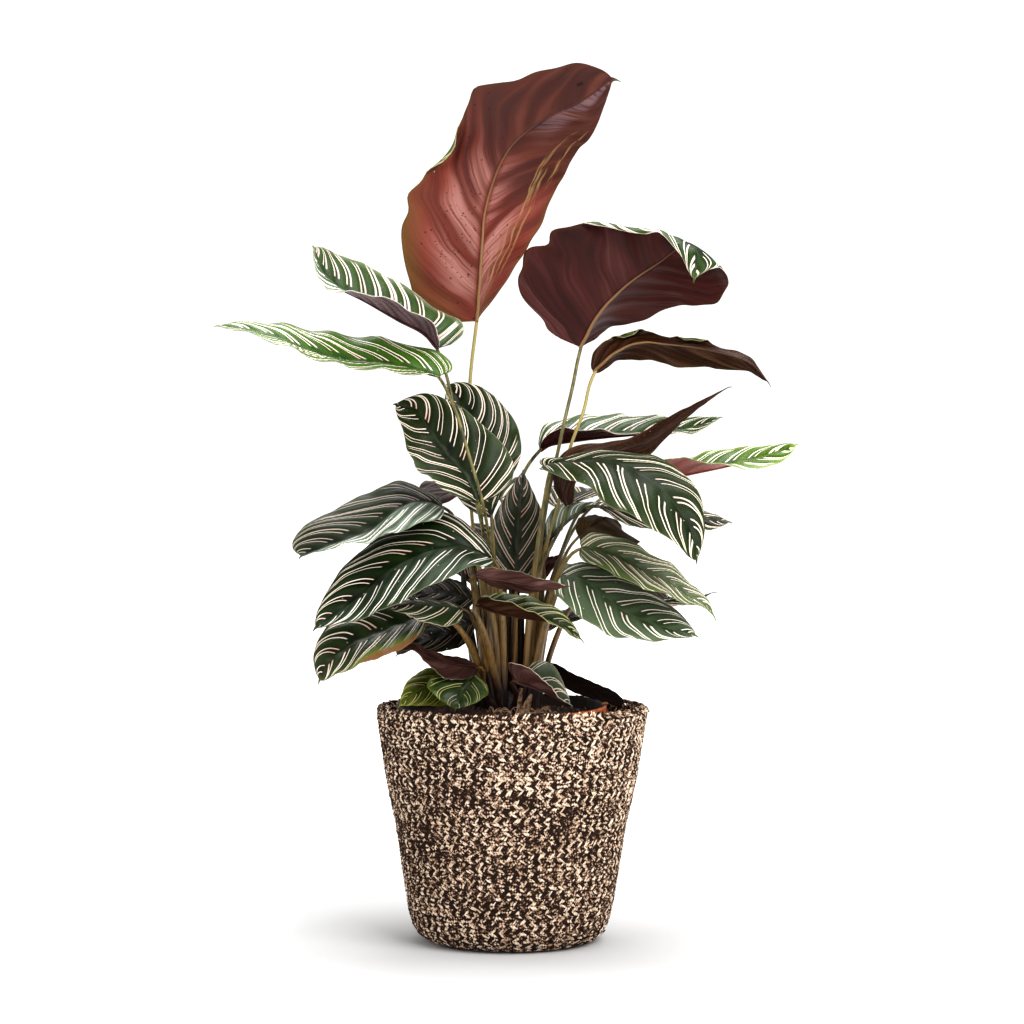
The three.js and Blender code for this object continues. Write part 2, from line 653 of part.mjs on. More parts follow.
function soilGeometry(potMatrix) {
  const [mound, slope, crest] = MOUND_RADII;
  const profile = [
    profilePoint(0, POT_WALL + GAP),
    profilePoint(POT_BASE_RADIUS - POT_CORNER - POT_WALL - GAP, POT_WALL + GAP),
    profilePoint(potRadiusAt(POT_CORNER) - POT_WALL - GAP, POT_CORNER + GAP),
    profilePoint(potRadiusAt(SOIL_DEPTH - 2) - POT_WALL - 2 * GAP, SOIL_DEPTH - 2),
    profilePoint(potRadiusAt(SOIL_DEPTH) - POT_WALL - 2, SOIL_DEPTH),
    profilePoint(mound, SOIL_DEPTH + 0.2 * SOIL_MOUND),
    profilePoint(slope, SOIL_DEPTH + 0.7 * SOIL_MOUND),
    profilePoint(crest, SOIL_DEPTH + SOIL_MOUND),
    profilePoint(0, SOIL_DEPTH + 1.2 * SOIL_MOUND),
  ];
  const hole = [...crownProfile(GAP), profilePoint(CROWN_RADIUS + GAP, CROWN_TOP), profilePoint(0, CROWN_TOP)];
  const cutter = turned(hole, CROWN_SEGMENTS)
    .translate(CROWN_X, CROWN_Y, 0)
    .applyMatrix4(potMatrix.clone().invert());
  return toGeometry(toSolid(turned(profile, POT_SEGMENTS)).subtract(toSolid(cutter)));
}

// A closed round bar along a curve, from its root radius to its top radius.
function barSolid(curve, rootRadius, topRadius, steps) {
  const frames = curve.computeFrenetFrames(steps, false);
  const positions = [];
  const indices = [];
  for (let i = 0; i <= steps; i++) {
    const centre = curve.getPointAt(i / steps);
    const radius = THREE.MathUtils.lerp(rootRadius, topRadius, i / steps);
    for (let k = 0; k < STALK_SIDES; k++) {
      const turn = (k / STALK_SIDES) * 2 * Math.PI;
      const point = centre.clone()
        .addScaledVector(frames.normals[i], radius * Math.cos(turn))
        .addScaledVector(frames.binormals[i], radius * Math.sin(turn));
      positions.push(point.x, point.y, point.z);
    }
  }
  for (let i = 0; i < steps; i++) {
    for (let k = 0; k < STALK_SIDES; k++) {
      const a = i * STALK_SIDES + k;
      const b = i * STALK_SIDES + ((k + 1) % STALK_SIDES);
      indices.push(a, b, b + STALK_SIDES, a, b + STALK_SIDES, a + STALK_SIDES);
    }
  }
  const last = steps * STALK_SIDES;
  for (let k = 1; k < STALK_SIDES - 1; k++) {
    indices.push(0, k + 1, k);
    indices.push(last, last + k, last + k + 1);
  }
  const geometry = new THREE.BufferGeometry();
  geometry.setAttribute("position", new THREE.Float32BufferAttribute(positions, 3));
  geometry.setIndex(indices);
  return toSolid(geometry);
}

// The stalk runs from inside the crown through its points and ends square to the blade's foot, a gap short.
function stalkSolid(leaf) {
  const midrib = midribCurve(leaf);
  const foot = midrib.getPointAt(0);
  const along = midrib.getTangentAt(0);
  const curve = new THREE.CatmullRomCurve3([
    new THREE.Vector3(...leaf.root, STALK_ROOT_Z),
    ...leaf.stalk.map(vector).reverse(),
    foot.clone().addScaledVector(along, -6),
    foot.clone().addScaledVector(along, -GAP - 0.2),
  ], false, "centripetal");
  const steps = THREE.MathUtils.clamp(Math.round(curve.getLength() / STALK_STEP), 3, 8);
  return barSolid(curve, STALK_ROOT_RADIUS, STALK_TOP_RADIUS, steps);
}

function midribCurve(leaf) {
  return new THREE.CatmullRomCurve3(leaf.midrib.map(vector), false, "centripetal");
}

// The reach between its values, which are evenly spaced from foot to tip.
function reachAt(reach, s) {
  return new THREE.CatmullRomCurve3(reach.map(vector), false, "catmullrom").getPoint(s);
}

// The outline's width from foot to tip, 1 where it is widest.
function widthAt([rise, fall], s) {
  const widest = rise / (rise + fall);
  const value = (at) => at ** rise * (1 - at) ** fall;
  return Math.max(value(s) / value(widest), BLADE_END_WIDTH);
}

// The points of the blade's middle sheet: rows from foot to tip, columns from the left margin to the right.
function bladeSheet(leaf, phase, rows, columns) {
  const midrib = midribCurve(leaf);
  const [waveHeight, waveCount] = leaf.waves;
  const sheet = [];
  for (let i = 0; i <= rows; i++) {
    const even = i / rows;
    const s = 0.45 * even + 0.55 * (0.5 - 0.5 * Math.cos(Math.PI * even));
    const spine = midrib.getPointAt(s);
    const along = midrib.getTangentAt(s);
    const width = widthAt(leaf.outline, s);
    const row = [];
    for (let j = -columns; j <= columns; j++) {
      const t = Math.abs(j) / columns;
      const right = j >= 0;
      const reach = reachAt(right ? leaf.right : leaf.left, s);
      if (i === 0 || i === rows) reach.projectOnPlane(along);
      const up = right
        ? new THREE.Vector3().crossVectors(reach, along).normalize()
        : new THREE.Vector3().crossVectors(along, reach).normalize();
      const wave = Math.sin(2 * Math.PI * waveCount * s + phase + (right ? 0 : 2));
      const lift = waveHeight * t * t * wave * Math.min(1, 1.5 * width);
      row.push(spine.clone().addScaledVector(reach, width * t).addScaledVector(up, lift));
    }
    sheet.push(row);
  }
  return sheet;
}

// The normal at each point of the sheet, from the four points round it.
function sheetNormals(sheet) {
  const lastRow = sheet.length - 1;
  const lastColumn = sheet[0].length - 1;
  return sheet.map((row, i) => row.map((point, j) => {
    const ahead = sheet[Math.min(i + 1, lastRow)][j].clone().sub(sheet[Math.max(i - 1, 0)][j]);
    const across = row[Math.min(j + 1, lastColumn)].clone().sub(row[Math.max(j - 1, 0)]);
    return across.cross(ahead).normalize();
  }));
}

// The sheet thickened to both sides, with the same diagonals on both faces, and a rim round the edge.
function bladeGeometry(leaf, phase) {
  const [rows, columns] = BLADE_GRID[leaf.size ?? "medium"];
  const sheet = bladeSheet(leaf, phase, rows, columns);
  const normals = sheetNormals(sheet);
  const positions = [];
  for (const side of [0.5, -0.5]) {
    sheet.forEach((row, i) => row.forEach((point, j) => {
      const shifted = point.clone().addScaledVector(normals[i][j], side * BLADE_THICKNESS);
      positions.push(shifted.x, shifted.y, shifted.z);
    }));
  }
  const rowLength = 2 * columns + 1;
  const under = (rows + 1) * rowLength;
  const indices = [];
  for (let i = 0; i < rows; i++) {
    for (let j = 0; j < rowLength - 1; j++) {
      const a = i * rowLength + j;
      const b = a + 1;
      const c = a + rowLength;
      const d = c + 1;
      indices.push(a, b, d, a, d, c);
      indices.push(under + a, under + d, under + b, under + a, under + c, under + d);
    }
  }
  const rim = [];
  for (let j = 0; j < rowLength - 1; j++) rim.push(j);
  for (let i = 0; i < rows; i++) rim.push(i * rowLength + rowLength - 1);
  for (let j = rowLength - 1; j > 0; j--) rim.push(rows * rowLength + j);
  for (let i = rows; i > 0; i--) rim.push(i * rowLength);
  rim.forEach((from, k) => {
    const to = rim[(k + 1) % rim.length];
    indices.push(from, under + from, under + to, from, under + to, to);
  });
  const geometry = new THREE.BufferGeometry();
  geometry.setAttribute("position", new THREE.Float32BufferAttribute(positions, 3));
  geometry.setIndex(indices);
  geometry.computeVertexNormals();
  return geometry;
}

const plant = new THREE.Group();

plant.add(named("basket", basketGeometry(), STRAW, 0.8));
plant.add(named("basket_liner", linerGeometry(), FILM, 0.4));

const pot = new THREE.Group();
const linerFloor = BASKET_WALL + GAP + LINER_THICKNESS;
pot.position.set(
  POT_OFFSET_X,
  POT_HEIGHT * Math.sin(POT_TILT),
  linerFloor + GAP + POT_BASE_RADIUS * Math.sin(POT_TILT),
);
pot.rotation.x = POT_TILT;
pot.updateMatrix();
pot.add(named("nursery_pot", potGeometry(), TERRACOTTA_PLASTIC, 0.5));
pot.add(named("soil", soilGeometry(pot.matrix), COMPOST, 0.95));
plant.add(pot);

const stems = wasm.Manifold.union([crownSolid(), ...LEAVES.map(stalkSolid)]);
plant.add(named("stem_clump", toGeometry(stems), STALK_GREEN, 0.5));

LEAVES.forEach((leaf, index) => {
  const color = leaf.name === "rolled" ? LEAF_BURGUNDY : LEAF_GREEN;
  plant.add(named(`leaf_${leaf.name}`, bladeGeometry(leaf, index), color, 0.4));
});

export default plant;
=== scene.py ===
"""A potted pinstripe calathea: striped leaves on stalks, soil, a nursery pot and a braided basket."""
import math
from functools import partial

import bpy
import numpy as np
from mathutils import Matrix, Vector


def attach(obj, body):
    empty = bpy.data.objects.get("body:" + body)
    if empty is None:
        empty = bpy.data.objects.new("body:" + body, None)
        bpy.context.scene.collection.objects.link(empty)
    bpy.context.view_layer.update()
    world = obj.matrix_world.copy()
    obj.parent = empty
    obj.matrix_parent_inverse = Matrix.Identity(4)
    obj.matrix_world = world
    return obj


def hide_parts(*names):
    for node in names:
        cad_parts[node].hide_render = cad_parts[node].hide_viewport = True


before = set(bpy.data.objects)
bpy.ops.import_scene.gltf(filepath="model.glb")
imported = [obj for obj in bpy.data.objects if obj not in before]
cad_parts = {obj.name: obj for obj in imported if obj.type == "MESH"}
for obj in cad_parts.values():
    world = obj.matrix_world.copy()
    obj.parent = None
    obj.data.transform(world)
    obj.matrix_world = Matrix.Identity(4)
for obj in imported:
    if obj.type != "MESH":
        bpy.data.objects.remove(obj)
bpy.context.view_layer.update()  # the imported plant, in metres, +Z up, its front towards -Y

MM = 0.001

# The camera is level and looks along +Y from as far as the photo's perspective says.
CAMERA_PLACE = (0.0, -1820 * MM, 316 * MM)
CAMERA_LENS = 86.5
# Each lamp's name, place and size in metres, and power in watts.
LAMPS = [("key", (1.35, -1.8, 1.8), 1.9, 66), ("fill", (-1.8, -1.6, 1.0), 1.6, 15),
         ("top", (0.15, 0.3, 2.1), 1.3, 38)]
LAMPS_AIM = (0, 0, 0.3)
WHITE = (1, 1, 1, 1)

# The middle of the braid's layer: radius and height in mm, from inside the mouth over the rim to the base.
BASKET_OUTLINE = [(91.6, 148), (92.6, 158), (93.4, 166), (94.6, 171), (96.9, 172.4), (98.8, 171.2),
                  (99.1, 166), (97.7, 157), (95.0, 139), (92.2, 121), (88.6, 104), (84.4, 86), (81.6, 68),
                  (78.9, 50), (75.9, 32), (74.0, 22), (71.4, 13), (67.2, 6.4), (61, 2.4), (54, 1.4), (2, 1.4)]
# The same for the basket's inner side, from the middle of its floor up.
BASKET_INSIDE = [(1, 7.6), (52, 7.6), (60, 9), (66.5, 16), (69, 25), (70.6, 33), (73.4, 50), (76, 68),
                 (79, 86), (83, 104), (86.6, 121), (89.3, 139), (91.2, 150), (93.2, 165), (94.6, 170)]
BRAID_SHARES = (0.24, 0.42, 0.62)  # where along its way from the rim the braid is cut into four pieces
BASKET_HEIGHT = 173
BASKET_LEAN = -1.5  # mm that the base stands left of the rim
BRAID_ROW = 6.8  # mm from one row of the coiled braid to the next
FIBRE_SPACING = 1.83  # mm between the slanting fibres along a row
FIBRE_LENGTH = 5.4
FIBRE_WIDTH = 1.9
FIBRE_SLANT = math.radians(43)

POT_RIM_PLACE = (-8, 0, 174)  # the middle of the nursery pot's rim
POT_PLACE = (-8, 5.76, 9.08)
POT_TILT = math.radians(2)
KNOT_PLACE = (68, -8, 175.5)

CROWN_PLACE = (-2, -2)
STALK_ROOT_Z = 170
STALK_ROOT_RADIUS = 3.2
STALK_TOP_RADIUS = 1.3
STALK_POINTS = 40  # places along a stalk
SHEATH_POINTS = 14  # places along a sheath
STUBS = 18  # stalks of leaves that were cut away
SHEATHS_END_Z = 232  # where the sheaths end and the stalks start to slim
SLIM_STALK_Z = 300  # where the stalks are slim
RIB_SIDES = 8  # faces round a midrib
RIM_HAIRS = 260  # loose ends of straw
DRY_ROOTS = 34  # roots that lie on the soil
BRAID_POINTS = 90  # places along the braid in one turn
RIB_SHARE = {"large": 1.0, "medium": 0.85, "small": 0.6}
BLADE_THICKNESS = 0.5
WAVE_SHARE = 0.6  # how much of the solids' margin waves the fine blades keep
BLADE_END_WIDTH = 0.03
BLADE_GRID = {"large": (104, 18), "medium": (80, 14), "small": (52, 10)}  # rows, and columns in each half
LEFT_SHIFT = 0.45  # how many pairs of pinstripes the left half's veins lie behind the right half's
VEIN_NUMBERS = 17  # how far apart the veins' numbers of two leaves start, so that no two leaves look alike
DRIP_SHARES = (0.25, 0.5, 0.75, 1.0)  # the rows of a drip tip, as shares of its length
MARGIN_ARCH = 0.05  # how high a half arches, as a share of its width

# Each leaf as in the part's source: the midrib from foot to tip, how far each half reaches sideways at even
# steps, the outline's powers, the waves' height and number, and the stalk down to its root. The rest is the
# look: the finishes, the mm along the midrib from one pair of pinstripes to the next (pitch), how far towards
# the tip a vein of each half has run at the margin (sweep), and the length of the fine drip tip. Dents are
# bays or bulges of a half, rolls are parts of its margin that roll over, and drops are where sap has dried.
USUAL_LEAF = dict(size="medium", skin="dark", under="burgundy", pitch=13, sweep=(0.6, 0.6),
                  outline=(0.42, 0.75), waves=(2, 4), drip=2.6, drip_turn=(0, 0, 0), tan_rib=0,
                  dents=(), rolls=())
LEAVES = [
    dict(name="tall_red", size="large", skin="limey", under="brick", pitch=17, sweep=(0.42, 0.4),
         waves=(3, 4), drip=6.0, drip_turn=(0.3, 0, -0.5), tan_rib=1, ripe=0.9,
         drops=(0.14, 0.46, 0.06, 0.62), root=(-15, -2),
         dents=((1, 0.31, 0.03, -5), (1, 0.39, 0.03, -3), (1, 0.1, 0.03, 2.5), (1, 0.66, 0.025, 4.5),
                (1, 0.745, 0.04, -5), (1, 0.9, 0.04, 2.5), (-1, 0.1, 0.05, -3), (-1, 0.33, 0.04, -2)),
         rolls=((1, 0.43, 0.56, 4.2, -190),),
         midrib=[(-26, 0, 457), (-24, -6, 483), (-22, -12, 512), (-19, -18, 540), (-3, -28, 579),
                 (24, -38, 601), (49, -46, 612), (72, -52, 627)],
         right=[(-62, 14, -6), (-62, 19, 4), (-60, 21, 18), (-38, 22, 20), (-41, 22, 42), (-24, 22, 58),
                (-10, 20, 76)],
         left=[(2, 30, -2), (29, 38, -8), (44, 40, -14), (36, 38, -30), (14, 34, -52)],
         stalk=[(-31, -2, 417), (-30, -4, 314), (-18, -6, 236)]),
    dict(name="high_right", size="large", skin="flap", pitch=17, sweep=(0.45, 0.5), outline=(0.42, 0.72),
         waves=(2.5, 4), tan_rib=1, ripe=0.1, root=(8, 2),
         dents=((1, 0.05, 0.03, -10), (1, 0.19, 0.03, -3), (1, 0.315, 0.035, -9), (1, 0.43, 0.04, -2.5),
                (-1, 0.39, 0.05, 3), (-1, 0.54, 0.03, -2), (-1, 0.65, 0.04, 4)),
         rolls=((1, 0.48, 0.74, 3.8, -190),),
         midrib=[(51, 20, 439), (65, 14, 464), (86, 4, 485), (109, -10, 500), (128, -28, 512),
                 (134, -44, 502), (131, -50, 484)],
         right=[(-72, 10, 28), (-64, 13, 42), (-46, 14, 38), (-35, 6, 11), (-24, -6, -6)],
         left=[(10, 28, 5), (12, 32, -15), (23, 34, -26), (45, 20, -42), (33, 2, 4)],
         stalk=[(48, 14, 422), (38, -6, 381), (33, -4, 355), (29, -4, 341), (23, -6, 306), (18, -8, 268),
                (13, -6, 222)]),
    dict(name="narrow_right", skin="limey", under="brown", pitch=15, outline=(0.45, 0.75), drip=4.0,
         tan_rib=1, ripe=1.0, root=(12, -2),
         rolls=((1, 0.2, 0.34, 2.7, -240), (1, 0.5, 0.66, 2.5, -240)),
         midrib=[(61, 10, 420), (69, 6, 428), (80, 2, 436), (96, -4, 441), (116, -12, 439),
                 (144, -22, 434), (173, -32, 424), (185, -36, 411)],
         right=[(-12, 14, 12), (-2, 20, 8), (2, 14, 10)],
         left=[(4, 14, -4), (-2, 22, -14), (-4, 12, -12)],
         stalk=[(54, -8, 390), (42, -6, 365), (39, -2, 340), (32, -2, 314), (22, -4, 281), (14, -4, 222)]),
    dict(name="upper_left", skin="hazy", under="purple", pitch=9.5, sweep=(0.3, 0.4), root=(-17, -6),
         midrib=[(-54, -25, 435), (-64, -30, 446), (-82, -36, 455), (-106, -44, 468), (-124, -50, 477),
                 (-137, -56, 490), (-142, -60, 505)],
         right=[(38, 20, 12), (30, 26, 9), (17, 30, 21), (17, 25, 29), (20, 16, 30)],
         left=[(8, -32, 8), (0, -34, 5), (-4, -18, -26)],
         stalk=[(-49, -20, 420), (-44, -24, 401), (-37, -36, 368), (-28, -42, 332), (-21, -34, 303),
                (-16, -20, 252)]),
    dict(name="long_left", skin="bright", pitch=15, outline=(0.42, 0.8), waves=(2.5, 5), ripe=0.05,
         root=(-12, -12),
         midrib=[(-52, -45, 414), (-75, -52, 420), (-98, -60, 423), (-120, -68, 424), (-141, -76, 429),
                 (-164, -82, 438), (-189, -86, 445), (-207, -88, 447)],
         right=[(32, 20, 13), (8, 25, 18), (3, 26, 20), (2, 22, 17), (2, 18, 14)],
         left=[(4, -24, -5), (1, -27, -7), (0, -28, -5), (0, -25, -6), (0, -20, -8)],
         stalk=[(-49, -52, 406), (-40, -58, 390), (-32, -68, 360), (-26, -74, 342), (-21, -74, 325),
                (-19, -57, 312), (-16, -35, 295), (-14, -20, 237)]),
    dict(name="front_centre", pitch=11.5, sweep=(0.5, 0.5), root=(-9, -12),
         midrib=[(-24, -62, 323), (-33, -60, 342), (-46, -56, 357), (-54, -52, 368), (-62, -46, 379),
                 (-71, -40, 389), (-84, -36, 394)],
         right=[(40, 6, 10), (28, 6, 19), (16, 4, 30)],
         left=[(-24, -18, 0), (-20, -22, -13), (-18, -14, -26)],
         stalk=[(-22, -54, 311), (-21, -40, 302), (-20, -31, 291), (-18, -26, 270), (-12, -20, 222)]),
    dict(name="behind_centre", pitch=11, sweep=(0.6, 0.5), root=(-11, -6),
         midrib=[(-15, -28, 312), (-16, -26, 332), (-21, -24, 354), (-28, -20, 376), (-37, -14, 395),
                 (-47, -10, 409)],
         right=[(4, 6, 10), (21, 8, 11), (31, 8, 9), (33, 6, 17), (26, 4, 34)],
         left=[(-22, -8, 0), (-28, -8, -6), (-34, -8, -8), (-28, -7, -14), (-22, -6, -20)],
         stalk=[(-14, -24, 296), (-11, -14, 237)]),
    dict(name="pale_left", skin="painted_sheen_skin", sweep=(0.72, 0.5), outline=(0.45, 0.8), root=(-19, -6),
         midrib=[(-51, -40, 320), (-62, -48, 323), (-73, -56, 322), (-85, -66, 315), (-100, -76, 303),
                 (-115, -84, 297), (-132, -90, 291), (-147, -96, 285)],
         right=[(4, 22, 5), (-4, 26, 17), (-16, 26, 21), (-32, 21, 22), (-68, 12, 14)],
         left=[(10, -20, -16), (5, -23, -16), (2, -24, -9), (1, -20, -4), (0, -14, -3)],
         stalk=[(-42, -24, 312), (-34, -14, 292), (-24, -10, 240)]),
    dict(name="big_left", size="large", skin="black", pitch=16, sweep=(0.66, 0.4), root=(-6, -14),
         midrib=[(-14, -50, 282), (-24, -56, 287), (-35, -60, 291), (-48, -64, 290), (-59, -68, 288),
                 (-71, -72, 283), (-86, -78, 275), (-103, -86, 260), (-117, -92, 249), (-137, -100, 235)],
         right=[(-2, 10, 22), (-8, 22, 26), (-12, 27, 23), (-20, 22, 27), (-28, 10, 24)],
         left=[(6, -18, -10), (6, -25, -19), (5, -30, -25), (8, -24, -20), (10, -16, -12)],
         stalk=[(-10, -40, 270), (-7, -22, 237)]),
    dict(name="dry_edged", skin="dry", pitch=14, waves=(1.5, 4), root=(-19, -8),
         midrib=[(-63, -42, 241), (-72, -46, 238), (-84, -50, 234), (-96, -56, 229), (-108, -62, 225),
                 (-119, -68, 218), (-130, -74, 209), (-136, -78, 197)],
         right=[(-4, 18, 24), (-10, 18, 26), (-28, 8, 16)],
         left=[(6, -20, -16), (7, -20, -15), (14, -12, -18)],
         stalk=[(-49, -38, 241), (-37, -34, 230), (-27, -22, 211)]),
    dict(name="small_pale_edge", size="small", skin="rimmed", pitch=12, outline=(0.5, 0.8), waves=(1, 3),
         ripe=-0.42, root=(-14, -14),
         midrib=[(-35, -50, 246), (-48, -58, 249), (-62, -66, 251), (-76, -74, 251), (-86, -80, 248)],
         right=[(0, 18, 3), (0, 20, 2), (0, 12, 2)],
         left=[(2, -12, -15), (1, -14, -14), (-2, -8, -10)],
         stalk=[(-29, -42, 239), (-22, -30, 223)]),
    dict(name="dark_left", size="small", skin="shadow", pitch=14, outline=(0.45, 0.8), waves=(1, 3),
         ripe=-0.42, root=(-20, 4),
         midrib=[(-28, -8, 235), (-42, -16, 229), (-57, -22, 224), (-71, -28, 221), (-82, -32, 222)],
         right=[(0, 22, 16), (-2, 22, 16), (-2, 14, 8)],
         left=[(3, -10, -13), (2, -10, -11), (0, -8, -6)],
         stalk=[(-22, -6, 222)]),
    dict(name="curl_left", size="small", under="umber", outline=(0.5, 0.8), waves=(1, 3), root=(-13, -16),
         midrib=[(-25, -30, 203), (-38, -38, 205), (-51, -46, 208), (-62, -53, 213), (-71, -58, 219),
                 (-78, -62, 217)],
         right=[(2, -14, -10), (2, -14, -10), (6, -8, -4)],
         left=[(-2, 10, 6), (-3, 10, 6), (2, 8, 8)],
         stalk=[(-21, -24, 195)]),
    dict(name="low_left_back", size="small", skin="olive", pitch=12, outline=(0.5, 0.8), waves=(1, 3),
         ripe=-0.42, root=(-20, -4),
         midrib=[(-37, -10, 195), (-49, -22, 194), (-61, -32, 190), (-72, -38, 184), (-81, -41, 176)],
         right=[(-4, 10, 8), (-10, 10, 8), (-10, 8, 8)],
         left=[(6, -14, -18), (6, -12, -16), (4, -6, -10)],
         stalk=[(-31, -8, 186)]),
    dict(name="low_left_front", size="small", skin="moss", pitch=11, outline=(0.5, 0.7), waves=(1, 3),
         ripe=-0.42, root=(-10, -18),
         midrib=[(-28, -34, 199), (-32, -46, 193), (-36, -56, 187), (-38, -62, 181), (-40, -64, 176)],
         right=[(-24, -8, 6), (-27, -8, 2), (-18, -4, -2)],
         left=[(12, -10, -4), (16, -8, -6), (12, -4, -6)],
         stalk=[(-23, -28, 192)]),
    dict(name="upright_dark", size="small", skin="deep", pitch=14, outline=(0.5, 0.75), waves=(1, 3),
         root=(1, -6),
         midrib=[(3, -6, 259), (3, -4, 281), (4, 0, 303), (6, 5, 325), (8, 10, 346)],
         right=[(16, 2, 2), (21, 3, 2), (14, 2, -4)],
         left=[(-15, -6, 2), (-20, -6, 2), (-14, -4, -2)],
         stalk=[(3, -6, 237)]),
    dict(name="wide_right", size="large", skin="broad", pitch=15, sweep=(0.5, 0.45), outline=(0.4, 0.75),
         waves=(2, 5), root=(0, 8),
         midrib=[(21, 34, 363), (28, 30, 367), (47, 26, 370), (66, 22, 372), (95, 16, 374), (116, 12, 376),
                 (136, 8, 379), (154, 4, 386)],
         right=[(0, -22, 14), (0, -26, 0), (4, -18, -10)],
         left=[(-6, 26, 20), (-3, 28, 17), (-4, 18, 16)],
         stalk=[(15, 34, 355), (9, 32, 348), (3, 26, 325), (0, 18, 280), (0, 10, 221)]),
    dict(name="rolled", under="brown", outline=(0.5, 1.1), waves=(1, 3), drip=4.0, root=(11, -6),
         midrib=[(40, -12, 321), (36, -18, 334), (38, -24, 348), (51, -27, 357), (71, -28, 359),
                 (93, -30, 365), (112, -32, 378), (127, -34, 389), (140, -35, 397), (156, -36, 406)],
         right=[(-8, 10, 3), (-5, 16, 8), (-3, 10, 3)],
         left=[(16, 12, -4), (4, 16, -12), (3, 10, -6)],
         stalk=[(35, -12, 303), (26, -12, 286), (17, -14, 268), (13, -12, 237)]),
    dict(name="big_right", size="large", skin="fresh", pitch=16, sweep=(0.42, 0.5), outline=(0.4, 0.7),
         root=(9, -11),
         midrib=[(28, -48, 348), (31, -54, 351), (45, -62, 352), (62, -70, 353), (74, -76, 351),
                 (84, -82, 346), (102, -92, 335), (118, -104, 315), (126, -108, 299), (128, -112, 283)],
         right=[(-20, -20, -6), (-16, -24, -15), (-22, -26, -24), (-22, -20, -22), (-20, -12, -20)],
         left=[(-20, 20, 4), (-4, 25, 6), (9, 26, 14), (20, 21, 19), (22, 14, 14)],
         stalk=[(26, -40, 339), (22, -30, 317), (19, -24, 296), (14, -18, 252)]),
    dict(name="far_right", skin="lime", under="pink", pitch=15, sweep=(0.4, 0.4), outline=(0.45, 0.75),
         waves=(1.5, 4), root=(13, 8),
         midrib=[(96, 30, 340), (118, 26, 342), (140, 20, 346), (160, 14, 350), (184, 8, 356),
                 (210, 0, 366)],
         right=[(-4, -22, 22), (-4, -24, 3), (4, -18, -26)],
         left=[(-2, 24, 5), (-2, 26, 14), (-4, 14, 12)],
         stalk=[(73, 22, 331), (50, 12, 310), (32, 4, 273), (20, 3, 221)]),
    dict(name="behind_big_right", under="brown", outline=(0.5, 0.75), waves=(1, 3), root=(15, -4),
         midrib=[(65, -20, 320), (86, -26, 316), (111, -30, 315), (136, -34, 312), (157, -38, 309)],
         right=[(0, -20, -8), (0, -20, -13), (0, -14, -16)],
         left=[(0, 20, 8), (0, 22, 10), (0, 14, 8)],
         stalk=[(51, -7, 319), (43, -4, 304), (36, -4, 284), (26, -4, 251)]),
    dict(name="brown_right", size="small", under="tan", outline=(0.45, 0.7), waves=(1, 3), root=(16, 2),
         midrib=[(49, -24, 298), (57, -20, 307), (67, -10, 312), (75, 4, 309), (82, 16, 298)],
         right=[(-8, 4, 10), (-6, 10, 1), (8, 6, 8)],
         left=[(4, 6, -22), (24, 10, -20), (24, 6, -20)],
         stalk=[(45, -22, 295), (39, -18, 285), (29, -12, 251)]),
    dict(name="mid_right", skin="lit", outline=(0.42, 0.85), waves=(1.5, 4), drip=4.0, root=(14, -9),
         midrib=[(50, -40, 290), (62, -48, 289), (74, -56, 286), (85, -64, 280), (97, -72, 273),
                 (109, -78, 268), (123, -86, 258), (136, -92, 251), (141, -94, 244)],
         right=[(-8, -20, -12), (-6, -22, -11), (-8, -16, -8)],
         left=[(-5, 20, 14), (7, 24, 12), (10, 15, 11)],
         stalk=[(45, -38, 288), (39, -34, 281), (34, -30, 271), (24, -18, 237)]),
    dict(name="low_right", skin="sunny", pitch=15, sweep=(0.45, 0.6), root=(11, -13),
         midrib=[(36, -42, 270), (49, -50, 268), (60, -56, 261), (70, -62, 253), (80, -68, 245),
                 (92, -74, 240), (106, -80, 235), (129, -86, 229)],
         right=[(-18, -16, -19), (-11, -18, -17), (-5, -10, -14)],
         left=[(0, 16, 11), (15, 22, 19), (18, 10, 16)],
         stalk=[(33, -38, 261), (24, -24, 234)]),
    dict(name="purple_band", size="small", under="mauve", outline=(0.5, 0.8), waves=(1, 3),
         root=(-12, -18),
         midrib=[(-26, -64, 271), (-9, -70, 268), (9, -78, 265), (26, -88, 264), (40, -96, 264)],
         right=[(0, -12, 9), (0, -12, 8), (0, -8, 4)],
         left=[(0, 14, -6), (0, 16, -7), (0, 10, -4)],
         stalk=[(-28, -54, 263), (-26, -38, 238), (-19, -26, 208)]),
    dict(name="twisted_front", skin="limey", under="brown", pitch=11, outline=(0.45, 0.8), waves=(1.5, 4),
         drip=4.0, root=(-6, -19),
         midrib=[(-25, -55, 250), (-12, -64, 245), (2, -72, 242), (16, -79, 240), (29, -84, 238),
                 (39, -88, 234), (48, -92, 227)],
         right=[(0, -14, 12), (2, -16, 6), (-4, -12, -10)],
         left=[(2, 18, 12), (2, 20, 15), (8, 12, 10)],
         stalk=[(-22, -46, 235), (-15, -30, 208)]),
    dict(name="curled_base", size="small", skin="frosted", under="mauve", pitch=12, sweep=(0.9, 0.9),
         outline=(0.45, 0.7), waves=(1, 3), root=(2, -20),
         midrib=[(4, -46, 193), (15, -54, 190), (27, -60, 185), (35, -64, 181), (41, -66, 179)],
         right=[(-18, -8, 24), (-2, -12, 12), (-4, -8, 4)],
         left=[(2, 12, 12), (6, 14, 20), (8, 6, 10)],
         stalk=[(3, -34, 185)]),
    dict(name="dark_strap", size="small", skin="strap", under="dusky", outline=(0.25, 0.25),
         waves=(0.5, 3), root=(12, -14),
         midrib=[(21, -20, 205), (31, -14, 200), (42, -10, 193), (57, -6, 186), (70, -4, 181),
                 (82, -2, 174)],
         right=[(-2, -6, -5), (-3, -6, -6), (-3, -6, -4)],
         left=[(2, 6, 4), (3, 6, 4), (3, 6, 4)],
         stalk=[(19, -18, 193)]),
